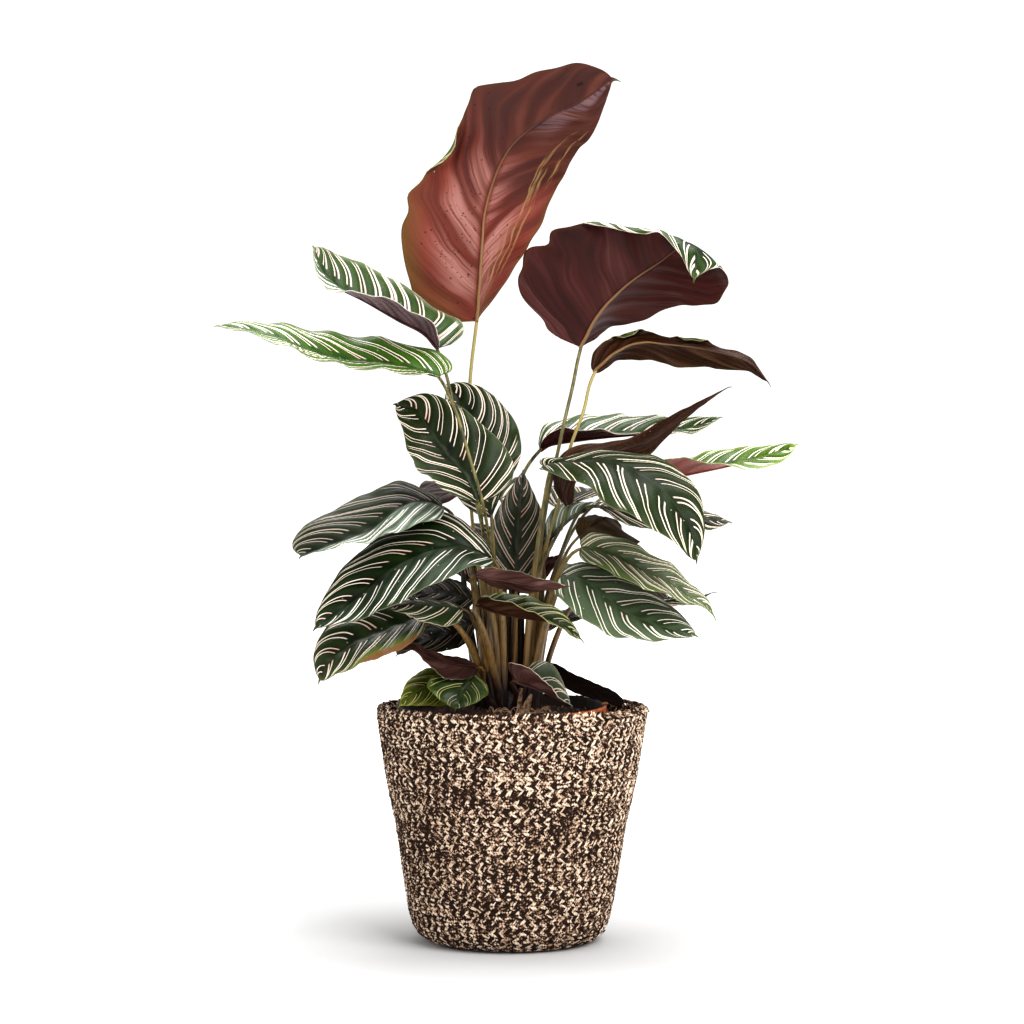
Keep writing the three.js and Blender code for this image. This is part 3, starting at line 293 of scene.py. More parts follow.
    dict(name="thin_behind", size="small", under="purple", outline=(0.5, 0.8), waves=(0.5, 3), drip=4.0,
         root=(17, 6),
         midrib=[(65, 0, 257), (94, -8, 250), (116, -14, 250), (134, -20, 252), (146, -24, 257)],
         right=[(0, -12, -3), (0, -10, -4), (0, -6, -2)],
         left=[(0, 10, 3), (0, 8, 4), (0, 6, 2)],
         stalk=[(46, 2, 249), (32, 4, 221)]),
    dict(name="silver_behind", size="small", skin="painted_sheen_skin", under="dusky", pitch=12, outline=(0.5, 0.7),
         waves=(0.5, 3), root=(8, 10),
         midrib=[(26, 4, 294), (35, 6, 303), (46, 8, 312), (58, 10, 318), (67, 12, 323)],
         right=[(4, -8, 6), (4, -8, 4), (2, -5, 2)],
         left=[(-8, 8, 6), (-10, 10, 10), (-4, 6, 6)],
         stalk=[(24, 4, 273), (17, 6, 221)]),
    dict(name="dark_left_high", size="small", skin="shadow", pitch=12, outline=(0.5, 0.8), waves=(0.5, 3),
         ripe=-0.42, root=(-17, 2),
         midrib=[(-28, -20, 252), (-42, -24, 256), (-60, -30, 258), (-73, -34, 255)],
         right=[(0, 16, 10), (0, 18, 10), (0, 10, 6)],
         left=[(0, -14, -10), (0, -14, -12), (0, -8, -6)],
         stalk=[(-21, -14, 235)]),
    dict(name="small_purple", size="small", outline=(0.5, 0.8), waves=(0.3, 3), root=(9, 8),
         midrib=[(21, 14, 266), (26, 15, 276), (33, 16, 281), (38, 17, 285)],
         right=[(-3, 6, 4), (-3, 6, 4), (-2, 2, 2)],
         left=[(3, -4, -4), (3, -4, -4), (2, -3, -2)],
         stalk=[(17, 10, 251)]),
    dict(name="back_upper_left", root=(-8, 8),
         midrib=[(-8, 22, 326), (-18, 38, 333), (-34, 62, 334), (-52, 88, 330), (-70, 116, 320)],
         right=[(26, 16, 9), (31, 20, 5), (22, 14, -4)],
         left=[(-26, -16, 6), (-31, -20, 4), (-22, -14, -4)],
         stalk=[(-6, 14, 300), (-6, 8, 240)]),
    dict(name="back_upper_right", root=(4, 12),
         midrib=[(38, 48, 318), (50, 64, 328), (68, 90, 331), (88, 116, 328), (108, 140, 318)],
         right=[(24, -18, 8), (30, -22, 4), (20, -14, -6)],
         left=[(-24, 18, 8), (-30, 22, 4), (-20, 14, -4)],
         stalk=[(28, 34, 290), (14, 18, 225)]),
    dict(name="back_right", root=(12, 10),
         midrib=[(36, 24, 262), (52, 36, 270), (76, 52, 270), (102, 70, 262), (126, 90, 246)],
         right=[(13, -22, 8), (15, -26, 4), (10, -16, -8)],
         left=[(-13, 22, 8), (-15, 26, 4), (-10, 16, -6)],
         stalk=[(26, 16, 235)]),
    dict(name="back_left", root=(-12, 10),
         midrib=[(-28, 24, 262), (-44, 34, 272), (-68, 50, 274), (-94, 68, 266), (-118, 88, 250)],
         right=[(13, 22, 8), (15, 26, 5), (10, 16, -6)],
         left=[(-13, -22, 8), (-15, -26, 4), (-10, -16, -8)],
         stalk=[(-20, 16, 235)]),
    dict(name="back_low_left", root=(-9, 14),
         midrib=[(-22, 30, 232), (-34, 48, 238), (-52, 72, 234), (-72, 96, 222), (-90, 116, 204)],
         right=[(20, 15, 8), (26, 19, 4), (18, 12, -8)],
         left=[(-20, -15, 8), (-26, -19, 4), (-18, -12, -6)],
         stalk=[(-16, 22, 215)]),
    dict(name="back_middle", root=(0, 14),
         midrib=[(2, 36, 286), (3, 56, 296), (4, 86, 298), (4, 118, 290), (2, 150, 272)],
         right=[(30, 0, 10), (36, 0, 6), (24, 0, -6)],
         left=[(-30, 0, 10), (-36, 0, 6), (-24, 0, -6)],
         stalk=[(1, 26, 262), (0, 14, 220)]),
    dict(name="back_lower_middle", root=(1, 14),
         midrib=[(2, 34, 214), (1, 54, 219), (-1, 80, 216), (-4, 104, 206), (-8, 126, 192)],
         right=[(18, 1, 6), (22, 1, 3), (16, 1, -5)],
         left=[(-18, -1, 6), (-22, -1, 3), (-16, -1, -5)],
         stalk=[(2, 24, 200)]),
    dict(name="back_low_right", size="small", outline=(0.45, 0.75), waves=(1.5, 4), root=(12, 12),
         midrib=[(28, 26, 228), (44, 38, 236), (66, 56, 238), (90, 76, 234), (110, 96, 228)],
         right=[(14, -18, 4), (18, -22, 2), (12, -15, -3)],
         left=[(-8, 12, 4), (-18, 18, 3), (-12, 15, -2)],
         stalk=[(20, 18, 210)]),
]

LEAVES = [USUAL_LEAF | leaf for leaf in LEAVES]

# Upper sides: the deep and the fresh green, the margin, the pale and the pink of the pinstripes, and what
# else sets a skin apart.
SKINS = {
    "dark": ("#0e150b #222d12 #2d3d15 #e6d6c4 #c69484", dict(line_width=0.9, shine=0.16)),
    "black": ("#090d06 #1a2a0e #28340f #e6d8c8 #c69484", dict(line_width=0.95, shine=0.16, painted_sheen=0.2)),
    "deep": ("#11150a #242a14 #303818 #b09c8c #a0705f", dict(line_width=0.85)),
    # Painted shade: a darker copy of the green skin, for leaves that lie in the shade of others.
    "shadow": ("#0c0b06 #18170c #201e10 #6c5e50 #5a463a", dict(shine=0.05)),
    "fresh": ("#10190a #202d0f #313f18 #e4d8c2 #d8bcaa", dict(line_width=1.0, shine=0.12)),
    "rimmed": ("#10190b #1f2b11 #38451f #cfc2aa #a88c7e", dict(rim=0.5)),
    # Painted light: two lighter copies of the green skin, for two low leaves, as if more light reached them.
    "lit": ("#2c3a1a #54643a #546a2e #e8d8c6 #d0a898", dict()),
    "sunny": ("#2d3a22 #515f46 #5a6a44 #fbf3e4 #ecd8ca", dict(line_width=1.1)),
    "bright": ("#1f3b0e #3f6218 #5e6e40 #f0e4d2 #dcbfae", dict(line_width=1.05)),
    "lime": ("#1f3e00 #4c6a08 #98a65c #f4f0da #e8dcba", dict(line_width=1.8)),
    "limey": ("#141e0a #283410 #4c5a22 #aeab80 #98946a", dict(rim=0.6)),
    "broad": ("#192c12 #334f22 #66724e #ecdcd0 #d8b8a8", dict(line_width=1.7, rim=0.6)),
    "hazy": ("#1a2b14 #3a5029 #7c866a #dfcfc4 #c8aea2", dict(line_width=1.9, rim=0.6, painted_sheen=0.5)),
    "flap": ("#142009 #2b4016 #46562a #e8dccf #e2c8ba", dict(line_width=1.7, rim=0.7, reach=1.0, shine=0.1)),
    "painted_sheen_skin": ("#0f160b #202a16 #4c543e #a89a8e #84706a", dict(painted_sheen=0.95, shine=0.14)),
    "frosted": ("#1a2414 #3c4832 #6c745c #cdbcae #b8938a", dict(line_width=1.0, rim=0.7, reach=1.0)),
    "olive": ("#283208 #525e14 #8c9034 #b8ae64 #98804c", dict(line_width=0.7)),
    "moss": ("#121c0a #263612 #4c5c1c #a09c62 #908a58", dict(line_width=0.6)),
    "strap": ("#0d0705 #160c08 #1c110b #160c08 #160c08", dict(shine=0.02)),
    "dry": ("#0f170a #283618 #4a4a20 #e6d8c6 #c89a8a", dict(dried=0.33)),
}
# Undersides: the main colour, its shade, its light, and the margin.
UNDERSIDES = {
    "brick": "#73352a #572820 #86483c #634a1e",
    "burgundy": "#401b18 #2c1310 #583330 #4a2a1a",
    "brown": "#381f11 #25150b #54392a #4c4a1c",
    "tan": "#3a2b14 #291c0d #544124 #5a5426",
    "pink": "#8c524a #74423a #a06a62 #8e6a4a",
    "purple": "#523338 #3c2629 #74555a #6b4f46",
    "mauve": "#5e403b #452c27 #80615a #5a3c34",
    "umber": "#3a221e #281613 #543a34 #4a342c",
    "dusky": "#1c1210 #100a08 #2e2220 #2c221a",
}
AGED_UNDERSIDE = "brick"
STRIPE_REACH = 0.82  # how far towards the margin every pinstripe goes, as a share


def linear(colour):
    """An sRGB hex value as the linear colour that a shader takes."""
    channels = [int(colour[i:i + 2], 16) / 255 for i in (1, 3, 5)]
    return (*[c / 12.92 if c <= 0.04045 else ((c + 0.055) / 1.055) ** 2.4 for c in channels], 1.0)


# For some types of node: the inputs that values fill in order, the output that is given back, and settings.
USUAL = {
    "Mix": ((0, 6, 7), 2, dict(data_type="RGBA")),
    "TexNoise": (("Vector", "Scale", "Detail"), 0, {}),
    "TexVoronoi": (("Vector", "Scale"), 0, dict(feature="F1")),
    "TexCoord": ((), 3, {}),
    "Attribute": ((), 2, {}),
    "Bump": (("Strength", "Distance", "Height"), 0, {}),
    "GeometryNodeInputNamedAttribute": (("Name",), 0, {}),
    "GeometryNodeStoreNamedAttribute": (("Geometry", "Name", "Value"), 0, dict(data_type="FLOAT")),
}


def add(tree, kind, *values, inputs=None, out=None, **settings):
    """Adds a node of a type that may have its operation after it, and gives back one of its outputs, or all.
    Values fill or link its inputs in order, and inputs does so by number or name."""
    name, _, operation = kind.partition(" ")
    order, usual_out, usual = USUAL.get(name, (range(9), 0, {}))
    made = tree.nodes.new(name if "Node" in name else "ShaderNode" + name)
    if operation:
        made.operation = operation
    for key, value in {**usual, **settings}.items():
        setattr(made, key, value)
    for key, value in [*zip(order, values), *(inputs or {}).items()]:
        if isinstance(value, bpy.types.NodeSocket):
            tree.links.new(value, made.inputs[key])
        else:
            made.inputs[key].default_value = linear(value) if str(value).startswith("#") else value
    return made.outputs if out == "all" else made.outputs[usual_out if out is None else out]


def new_material(name, roughness, **sockets):
    """A material with a Principled shader whose constant sockets are set, and what adds nodes to its tree."""
    material = bpy.data.materials.new(name)
    material.use_nodes = True
    shader = material.node_tree.nodes["Principled BSDF"]
    shader.inputs["Roughness"].default_value = roughness
    for key, value in sockets.items():
        shader.inputs[key.replace("_", " ")].default_value = value
    return material, partial(add, material.node_tree)


def finish(material, colour, height=None, strength=0.0, depth_mm=0.0):
    """Links a colour, and the relief of a height that is so many mm deep, to a material's shader."""
    tree = material.node_tree
    shader = tree.nodes["Principled BSDF"]
    tree.links.new(colour, shader.inputs["Base Color"])
    if height is not None:
        tree.links.new(add(tree, "Bump", strength, depth_mm * MM, height), shader.inputs["Normal"])
    return material


def curve_points(points, at, power=0.5):
    """Points of a Catmull-Rom curve, from 0 at its first point to 1 at its last; power 0.5 is centripetal."""
    given = np.asarray(points, float)
    padded = np.vstack([2 * given[0] - given[1], given, 2 * given[-1] - given[-2]])
    steps = np.linalg.norm(np.diff(padded, axis=0), axis=1) ** power
    place = np.clip(at, 0, 1) * (len(given) - 1)
    k = np.minimum(place.astype(int), len(given) - 2)
    f = (place - k)[:, None]
    a, b, c, d = padded[k], padded[k + 1], padded[k + 2], padded[k + 3]
    before, here, after = (steps[k + i][:, None] for i in range(3))
    leaving = ((b - a) / before - (c - a) / (before + here) + (c - b) / here) * here
    arriving = ((c - b) / here - (d - b) / (here + after) + (d - c) / after) * here
    bend = -3 * b + 3 * c - 2 * leaving - arriving
    twist = 2 * b - 2 * c + leaving + arriving
    return b + leaving * f + bend * f ** 2 + twist * f ** 3


def along_curve(points, shares):
    """Places and directions at shares of a curve's length, and that length."""
    dense = curve_points(points, np.linspace(0, 1, 401))
    reached = np.concatenate([[0], np.cumsum(np.linalg.norm(np.diff(dense, axis=0), axis=1))])
    slope = np.gradient(dense, reached, axis=0)
    at = np.asarray(shares) * reached[-1]
    place = np.stack([np.interp(at, reached, dense[:, i]) for i in range(3)], 1)
    direction = np.stack([np.interp(at, reached, slope[:, i]) for i in range(3)], 1)
    return place, unit(direction), reached[-1]


def unit(vectors):
    return vectors / np.maximum(np.linalg.norm(vectors, axis=-1, keepdims=True), 1e-9)


def smoothstep(low, high, x):
    f = np.clip((x - low) / (high - low), 0, 1)
    return f * f * (3 - 2 * f)


def placed(name, data):
    """A new object with this data, in the scene."""
    made = bpy.data.objects.new(name, data)
    bpy.context.scene.collection.objects.link(made)
    return made


def store(mesh, values):
    """Stores a number or a vector for each vertex of a mesh, under each name."""
    for name, numbers in values.items():
        kind, field = ("FLOAT_VECTOR", "vector") if np.ndim(numbers) == 2 else ("FLOAT", "value")
        made = mesh.attributes.new(name, kind, "POINT")
        made.data.foreach_set(field, np.asarray(numbers, np.float32).ravel())


def new_object(name, vertices, faces, materials=(), slots=None, uvs=None, values=None):
    """A smooth mesh object from vertices in mm; uvs and values are given for each vertex."""
    mesh = bpy.data.meshes.new(name)
    mesh.from_pydata((np.asarray(vertices) * MM).tolist(), [], faces)
    for material in materials:
        mesh.materials.append(material)
    if slots is not None:
        mesh.polygons.foreach_set("material_index", np.asarray(slots, np.int32))
    corners = np.zeros(len(mesh.loops), np.int32)
    mesh.loops.foreach_get("vertex_index", corners)
    for layer, places in (uvs or {}).items():
        made = mesh.uv_layers.new(name=layer)
        made.data.foreach_set("uv", np.asarray(places, np.float32)[corners].ravel())
    store(mesh, values or {})
    mesh.polygons.foreach_set("use_smooth", np.full(len(mesh.polygons), True))
    mesh.update()
    return placed(name, mesh)


def grid_faces(rows, columns, start=0, around=False, flip=False):
    """Quads between the points of a grid, closed round its columns when asked."""
    faces = []
    for i in range(rows - 1):
        for j in range(columns if around else columns - 1):
            a = start + i * columns + j
            b = start + i * columns + (j + 1) % columns
            quad = (a, b, b + columns, a + columns)
            faces.append(quad[::-1] if flip else quad)
    return faces


def closed_faces(rows, sides, start=0, flip=False):
    """The faces of a round body in rows of points, closed at both ends."""
    last = start + (rows - 1) * sides
    caps = [tuple(range(start, start + sides))[::-1], tuple(range(last, last + sides))]
    return grid_faces(rows, sides, start, True, flip) + [cap[::-1] if flip else cap for cap in caps]


def tube(places, radii, sides, start):
    """The vertices and faces of a closed round bar through places; faces count from start."""
    direction = unit(np.gradient(places, axis=0))
    across = np.zeros_like(places)
    across[0] = unit(np.cross(direction[0], (0.3, 0.9, 0.2)))
    for i in range(1, len(places)):
        across[i] = unit(across[i - 1] - direction[i] * (across[i - 1] @ direction[i]))
    third = np.cross(direction, across)
    turn = np.arange(sides) / sides * 2 * math.pi
    ring = across[:, None] * np.cos(turn)[:, None] + third[:, None] * np.sin(turn)[:, None]
    vertices = (places[:, None] + ring * np.asarray(radii)[:, None, None]).reshape(-1, 3)
    return vertices, closed_faces(len(places), sides, start)


def stage_scene():
    """The camera, the pale floor and the soft studio light."""
    camera = placed("camera", bpy.data.cameras.new("camera"))
    camera.location = CAMERA_PLACE
    camera.rotation_euler = (math.radians(90), 0, 0)
    camera.data.lens = CAMERA_LENS
    camera.data.clip_end = 50
    bpy.context.scene.camera = camera
    for name, place, size, power in LAMPS:
        light = placed(name, bpy.data.lights.new(name, "AREA"))
        light.data.size = size
        light.data.energy = power
        light.location = place
        light.rotation_euler = (Vector(LAMPS_AIM) - light.location).to_track_quat("-Z", "Y").to_euler()
    world = bpy.data.worlds.new("studio")
    world.use_nodes = True
    put = partial(add, world.node_tree)
    # The studio's walls look white, and light the plant less than its lamps do.
    bright = put("MapRange", put("LightPath"), 0.0, 1.0, 0.55, 1.0)
    walls = world.node_tree.nodes["Background"]
    walls.inputs["Color"].default_value = WHITE
    world.node_tree.links.new(bright, walls.inputs["Strength"])
    bpy.context.scene.world = world
    bpy.context.scene.view_settings.view_transform = "Standard"
    bpy.context.scene.view_settings.look = "Medium High Contrast"
    # White painted floor: matt, so that it only takes a soft shadow.
    paint, put = new_material("white_floor_paint", 0.9, Base_Color=linear("#cfcfcf"), Emission_Color=WHITE)
    # The lamps only reach the floor round the basket; further off it glows as brightly as they make it here.
    distance = put("VectorMath LENGTH", put("TexCoord"), out=1)
    glow = put("MapRange", distance, 0.15, 1.5, 0.0, 0.9)
    paint.node_tree.links.new(glow, paint.node_tree.nodes["Principled BSDF"].inputs["Emission Strength"])
    corners = [(-9000, -9000, 0), (9000, -9000, 0), (9000, 30000, 0), (-9000, 30000, 0)]
    floor = new_object("floor", corners, [(0, 1, 2, 3)], [paint])


def pinstripes(put, line_width, reach=STRIPE_REACH):
    """What a blade's skin is painted by, from its own UV maps: u counts pairs of pinstripes along the midrib
    and follows the veins, and v runs from -1 at the left margin to 1 at the right one."""
    veins = put("SeparateXYZ", put("UVMap", uv_map="veins")).node.outputs
    side = put("Math LESS_THAN", veins[1], 0.0)
    across = put("Math ABSOLUTE", veins[1])
    place = put("TexCoord")
    drift = put("TexNoise", place, 1000 / 24, 1.0)
    drift = put("Math MULTIPLY_ADD", drift, 0.34, -0.17)
    count = put("Math MULTIPLY_ADD", side, LEFT_SHIFT, veins[0])
    count = put("Math ADD", count, drift)
    cell = put("Math FLOOR", count)
    inside = put("Math SUBTRACT", count, cell)
    inside = put("Math SUBTRACT", inside, 0.5)
    inside = put("Math ABSOLUTE", inside)
    key = put("CombineXYZ", cell, side)
    draws = put("TexWhiteNoise", key, out=1, noise_dimensions="3D")
    draws = put("SeparateColor", draws).node.outputs
    half_gap = put("Math MULTIPLY_ADD", draws[0], 0.05, 0.125)
    closing = put("MapRange", across, 0.0, 1.0, 1.0, 0.8)
    half_gap = put("Math MULTIPLY", half_gap, closing)
    off_line = put("Math SUBTRACT", inside, half_gap)
    off_line = put("Math ABSOLUTE", off_line)
    spacing = put("Attribute", attribute_name="spacing")
    taper = put("MapRange", across, 0.1, 0.95, line_width * 0.58, line_width * 0.44)
    width = put("Math DIVIDE", taper, spacing)
    width = put("Math MINIMUM", width, 0.1)
    vary = put("Math MULTIPLY_ADD", draws[1], 0.7, 0.65)
    width = put("Math MULTIPLY", width, vary)
    core = put("Math MULTIPLY", width, 0.55)
    line = put("MapRange", off_line, core, width, 1.0, 0.0)
    begin = put("Math MULTIPLY_ADD", draws[0], 0.14, 0.06)
    begun = put("Math ADD", begin, 0.035)
    shown = put("MapRange", across, begin, begun)
    stop = put("Math MULTIPLY_ADD", draws[2], 0.22, reach)
    gone = put("Math ADD", stop, 0.1)
    lasting = put("MapRange", across, stop, gone, 1.0, 0.0)
    line = put("Math MULTIPLY", line, shown)
    line = put("Math MULTIPLY", line, lasting)
    return dict(line=line, across=across, side=side, count=count, inside=inside, place=place, draws=draws)


def leaf_skin(name, deep, fresh, edge, pale, pink, line_width=1.0, dried=0.0, painted_sheen=0.0, rim=0.12,
              shine=0.24, reach=STRIPE_REACH):
    """Living leaf, upper side: waxy dark green with paired pinstripes, and a thin pale margin."""
    material, put = new_material(name, 0.36, Specular_IOR_Level=shine)
    stripes = pinstripes(put, line_width, reach)
    blotch = put("TexNoise", stripes["place"], 1000 / 30, 3.0)
    between = put("MapRange", stripes["inside"], 0.16, 0.5, 0.0, 0.55)
    amount = put("MapRange", blotch, 0.35, 0.7, 0.0, 0.6)
    amount = put("Math ADD", amount, between)
    outer = put("MapRange", stripes["across"], 0.25, 1.0, 0.0, 0.5)
    amount = put("Math ADD", amount, outer, use_clamp=True)
    green = put("Mix", amount, deep, fresh)
    near_edge = put("MapRange", stripes["across"], 0.8, 1.0, 0.0, 0.7)
    green = put("Mix", near_edge, green, edge)
    rib = put("MapRange", stripes["across"], 0.01, 0.028, 0.35, 0.0)
    green = put("Mix", rib, green, edge)
    if painted_sheen:
        # Painted sheen: where the light grazes the waxy near half, its reflection is painted as pale grey
        # between the veins.
        half = put("Math GREATER_THAN", stripes["side"], 0.5)
        painted_sheen_share = put("MapRange", blotch, 0.34, 0.7, 0.4 * painted_sheen ** 2, painted_sheen)
        banded = put("MapRange", stripes["inside"], 0.44, 0.3, 0.35, 1.0)
        painted_sheen_share = put("Math MULTIPLY", painted_sheen_share, half)
        painted_sheen_share = put("Math MULTIPLY", painted_sheen_share, banded)
        green = put("Mix", painted_sheen_share, green, "#8b9c89")
    outward = put("MapRange", stripes["across"], 0.1, 0.62)
    pinkness = put("Math ADD", outward, stripes["draws"][2], use_clamp=True)
    cream = put("Mix", pinkness, pink, pale)
    # Painted highlight: on the near half the pinstripes are painted whiter, as the gloss reflects the light.
    if painted_sheen:
        white = put("Math MULTIPLY", half, 0.85)
        cream = put("Mix", white, cream, "#f4f0e6")
    skin = put("Mix", stripes["line"], green, cream)
    margin = put("MapRange", stripes["across"], 0.978, 0.988, 0.0, rim)
    skin = put("Mix", margin, skin, pale)
    shares = put("SeparateXYZ", put("UVMap", uv_map="blade")).node.outputs
    tip = put("MapRange", shares[0], 0.955, 0.995, 0.0, 0.75)
    skin = put("Mix", tip, skin, edge)
    if dried:
        # A part of the margin has dried to a tan brown.
        along = put("Math SUBTRACT", shares[0], dried)
        along = put("Math ABSOLUTE", along)
        depth = put("MapRange", along, 0.14, 0.4, 0.74, 1.05)
        depth = put("Math MULTIPLY_ADD", blotch, 0.3, depth)
        depth = put("Math SUBTRACT", depth, 0.15)
        past = put("Math SUBTRACT", stripes["across"], depth)
        yellowed = put("MapRange", past, -0.22, 0.05)
        yellowed = put("Math MULTIPLY", yellowed, stripes["side"])
        browned = put("MapRange", past, 0.0, 0.06)
        browned = put("Math MULTIPLY", browned, stripes["side"])
        skin = put("Mix", yellowed, skin, "#66702c")
        skin = put("Mix", browned, skin, "#7a5836")
    # Dried water leaves a pale speck here and there.
    spots = put("TexVoronoi", stripes["place"], 1000 / 9)
    specks = put("MapRange", spots, 0.075, 0.05, 0.0, 0.55)
    skin = put("Mix", specks, skin, "#b4b8a0")
    quilted = put("Math MULTIPLY", stripes["count"], 2 * math.pi)
    quilted = put("Math COSINE", quilted)
    grain = put("TexNoise", stripes["place"], 1000 / 1.6, 2.0)
    height = put("Math MULTIPLY_ADD", quilted, 0.35, grain)
    return finish(material, skin, height, 0.35, 0.5)


def leaf_underside(name, base, shade, light, edge, aged):
    """Living leaf, underside: wine-coloured and smooth, ridged along its side veins."""
    material, put = new_material(name, 0.45, Specular_IOR_Level=0.14)
    stripes = pinstripes(put, 1.0)
    ridge = put("Math MULTIPLY", stripes["count"], 2 * math.pi)
    ridge = put("Math SINE", ridge)
    veined = put("CombineXYZ", stripes["count"], stripes["across"], stripes["side"])
    bands = put("VectorMath MULTIPLY", veined, (1.1, 0.8, 5.0))
    streak = put("TexNoise", bands, 1.0, 1.0)
    fine = put("VectorMath MULTIPLY", veined, (7.0, 1.2, 5.0))
    fine = put("TexNoise", fine, 1.0, 1.0)
    # The ridges are also painted into the colour: painted shade in their hollows and painted light on their
    # crests, over darker and lighter bands along the veins.
    tone = put("Math MULTIPLY_ADD", ridge, 0.05, streak)
    tone = put("Math MULTIPLY_ADD", fine, 0.36, tone)
    tone = put("Math SUBTRACT", tone, 0.18)
    darker = put("MapRange", tone, 0.52, 0.3, 0.0, 0.9)
    lighter = put("MapRange", tone, 0.52, 0.75, 0.0, 0.8)
    skin = put("Mix", darker, base, shade)
    skin = put("Mix", lighter, skin, light)
    rimmed = put("MapRange", stripes["across"], 0.93, 1.0, 0.0, 0.6)
    skin = put("Mix", rimmed, skin, edge)
    if aged:
        skin = aged_underside(put, skin, stripes, streak, fine)
    height = put("Math MULTIPLY_ADD", ridge, 0.9, fine)
    return finish(material, skin, height, 0.4, 0.7)


def aged_underside(put, skin, stripes, streak, fine):
    """The tallest leaf's underside: darker to the tip, olive at one low margin, with a painted highlight
    along the midrib and a painted sheen near the tip, and scratched tan near the other margin."""
    shares = put("SeparateXYZ", put("UVMap", uv_map="blade")).node.outputs
    along, across = shares[0], stripes["across"]
    cloud = put("TexNoise", stripes["place"], 1000 / 40, 2.0)

    def masked(*ranges):
        """The product of ramps, each from one value to another of what it reads."""
        product = None
        for value, low, high in ranges:
            ramp = put("MapRange", value, low, high, interpolation_type="SMOOTHSTEP")
            product = ramp if product is None else put("Math MULTIPLY", product, ramp)
        return product

    def tinted(skin, share, colour, *ranges):
        return put("Mix", put("Math MULTIPLY", masked(*ranges), share), skin, colour)

    left = stripes["side"]
    for share, colour, *ranges in (
            (0.85, "#42251e", (along, 0.36, 0.74)),
            (0.6, "#361d1c", (along, 0.3, 0.62), (streak, 0.6, 0.38), (across, 1.0, 0.62)),
            (0.2, "#6e4238", (along, 0.45, 0.7), (streak, 0.5, 0.66)),
            (0.7, "#5e4520", (along, 0.42, 0.25), (across, 0.66, 1.0), (left, 0.6, 0.4)),
            (0.5, "#634420", (along, 0.16, 0.04), (across, 0.2, 0.7)),
            # A pale painted highlight along the midrib, where the ridges reflect the light, a painted grey
            # sheen near the tip, and one dark spot.
            (0.52, "#c0928a", (along, 0.03, 0.14), (along, 0.6, 0.42), (across, 0.02, 0.1),
             (across, 0.78, 0.3), (streak, 0.36, 0.62), (fine, 0.2, 0.6)),
            (0.32, "#9a8088", (along, 0.64, 0.78), (across, 0.02, 0.08), (across, 0.5, 0.24),
             (left, 0.4, 0.6), (fine, 0.3, 0.6)),
            (0.8, "#1c0d0b", (along, 0.875, 0.885), (along, 0.905, 0.895), (across, 0.36, 0.4),
             (across, 0.5, 0.46), (left, 0.6, 0.4))):
        skin = tinted(skin, share, colour, *ranges)
    lines = put("VectorMath MULTIPLY", put("CombineXYZ", along, across), (14.0, 40.0, 1.0))
    scratch = put("TexNoise", lines, 1.0, 3.0)
    # Thin scratches run beside the margin, wandering a little.
    for middle, low, high in ((0.52, 0.05, 0.4), (0.64, 0.1, 0.66), (0.74, 0.16, 0.62), (0.86, 0.5, 0.86),
                              (0.68, 0.42, 0.82)):
        wander = put("Math MULTIPLY_ADD", cloud, 0.16, middle - 0.08)
        wander = put("Math ABSOLUTE", put("Math SUBTRACT", across, wander))
        skin = tinted(skin, 0.55, "#a58657", (wander, 0.03, 0.004), (along, low, low + 0.06),
                      (along, high, high - 0.06), (scratch, 0.38, 0.54), (left, 0.4, 0.6))
    # A chafed patch low on the right half.
    skin = tinted(skin, 0.4, "#a88460", (scratch, 0.52, 0.62), (along, 0.06, 0.14), (along, 0.34, 0.24),
                  (across, 0.14, 0.24), (across, 0.62, 0.5), (left, 0.4, 0.6))
    # Small dark specks all over.
    spots = put("TexVoronoi", stripes["place"], 1000 / 9)
    return put("Mix", put("MapRange", spots, 0.12, 0.07, 0.0, 0.7), skin, "#3c1612")


def stalk_skin():
    """Living stalk: smooth and waxy, olive-yellow, streaked brown towards its dark red-brown foot."""
    material, put = new_material("stalk_skin", 0.42, Coat_Weight=0.1, Coat_Roughness=0.3)
    place = put("TexCoord")
    height = put("SeparateXYZ", place, out=2)
    stretched = put("VectorMath MULTIPLY", place, (1000 / 3, 1000 / 3, 1000 / 60))
    streak = put("TexNoise", stretched, 1.0, 3.0)
    thin = put("VectorMath MULTIPLY", place, (1000 / 1.2, 1000 / 1.2, 1000 / 40))
    thin = put("TexNoise", thin, 1.0, 2.0)
    yellow = put("MapRange", streak, 0.38, 0.62)
    ripe = put("Attribute", attribute_name="ripe")
    skin = put("Mix", yellow, "#2e2f12", "#716833")
    skin = put("Mix", ripe, skin, "#9a8a50")
    old = put("MapRange", ripe, -0.3, -0.5)
    browned = put("MapRange", height, 0.31, 0.22, 0.0, 1.4)
    browned = put("Math MULTIPLY", browned, streak, use_clamp=True)
    skin = put("Mix", browned, skin, "#8a6536")
    lines = put("MapRange", thin, 0.52, 0.66, 0.0, 0.8)
    lines = put("Math MULTIPLY", lines, browned)
    skin = put("Mix", lines, skin, "#3a1d14")
    skin = put("Mix", old, skin, "#22170e")
    foot = put("MapRange", height, 0.205, 0.185)
    skin = put("Mix", foot, skin, "#2a1312")
    return finish(material, skin, streak, 0.3, 0.4)


def rib_skin():
    """Midrib beneath a blade: waxy and tan like the stalk at its foot, wine-coloured towards the tip."""
    material, put = new_material("midrib_skin", 0.42, Specular_IOR_Level=0.25)
    shares = put("SeparateXYZ", put("UVMap", uv_map="blade"))
    faded = put("MapRange", shares, 0.3, 0.75)
    skin = put("Mix", faded, "#80603e", "#40241d")
    return finish(material, skin)


def sheath_skin():
    """Old leaf sheaths at the crown: papery, dark maroon, with lighter dry streaks along them."""
    material, put = new_material("crown_sheath", 0.6)
    place = put("TexCoord")
    stretched = put("VectorMath MULTIPLY", place, (1000 / 2, 1000 / 2, 1000 / 30))
    streak = put("TexNoise", stretched, 1.0, 4.0)
    dry = put("MapRange", streak, 0.55, 0.8)
    skin = put("Mix", dry, "#231010", "#6a4330")
    return finish(material, skin, streak, 0.6, 0.6)


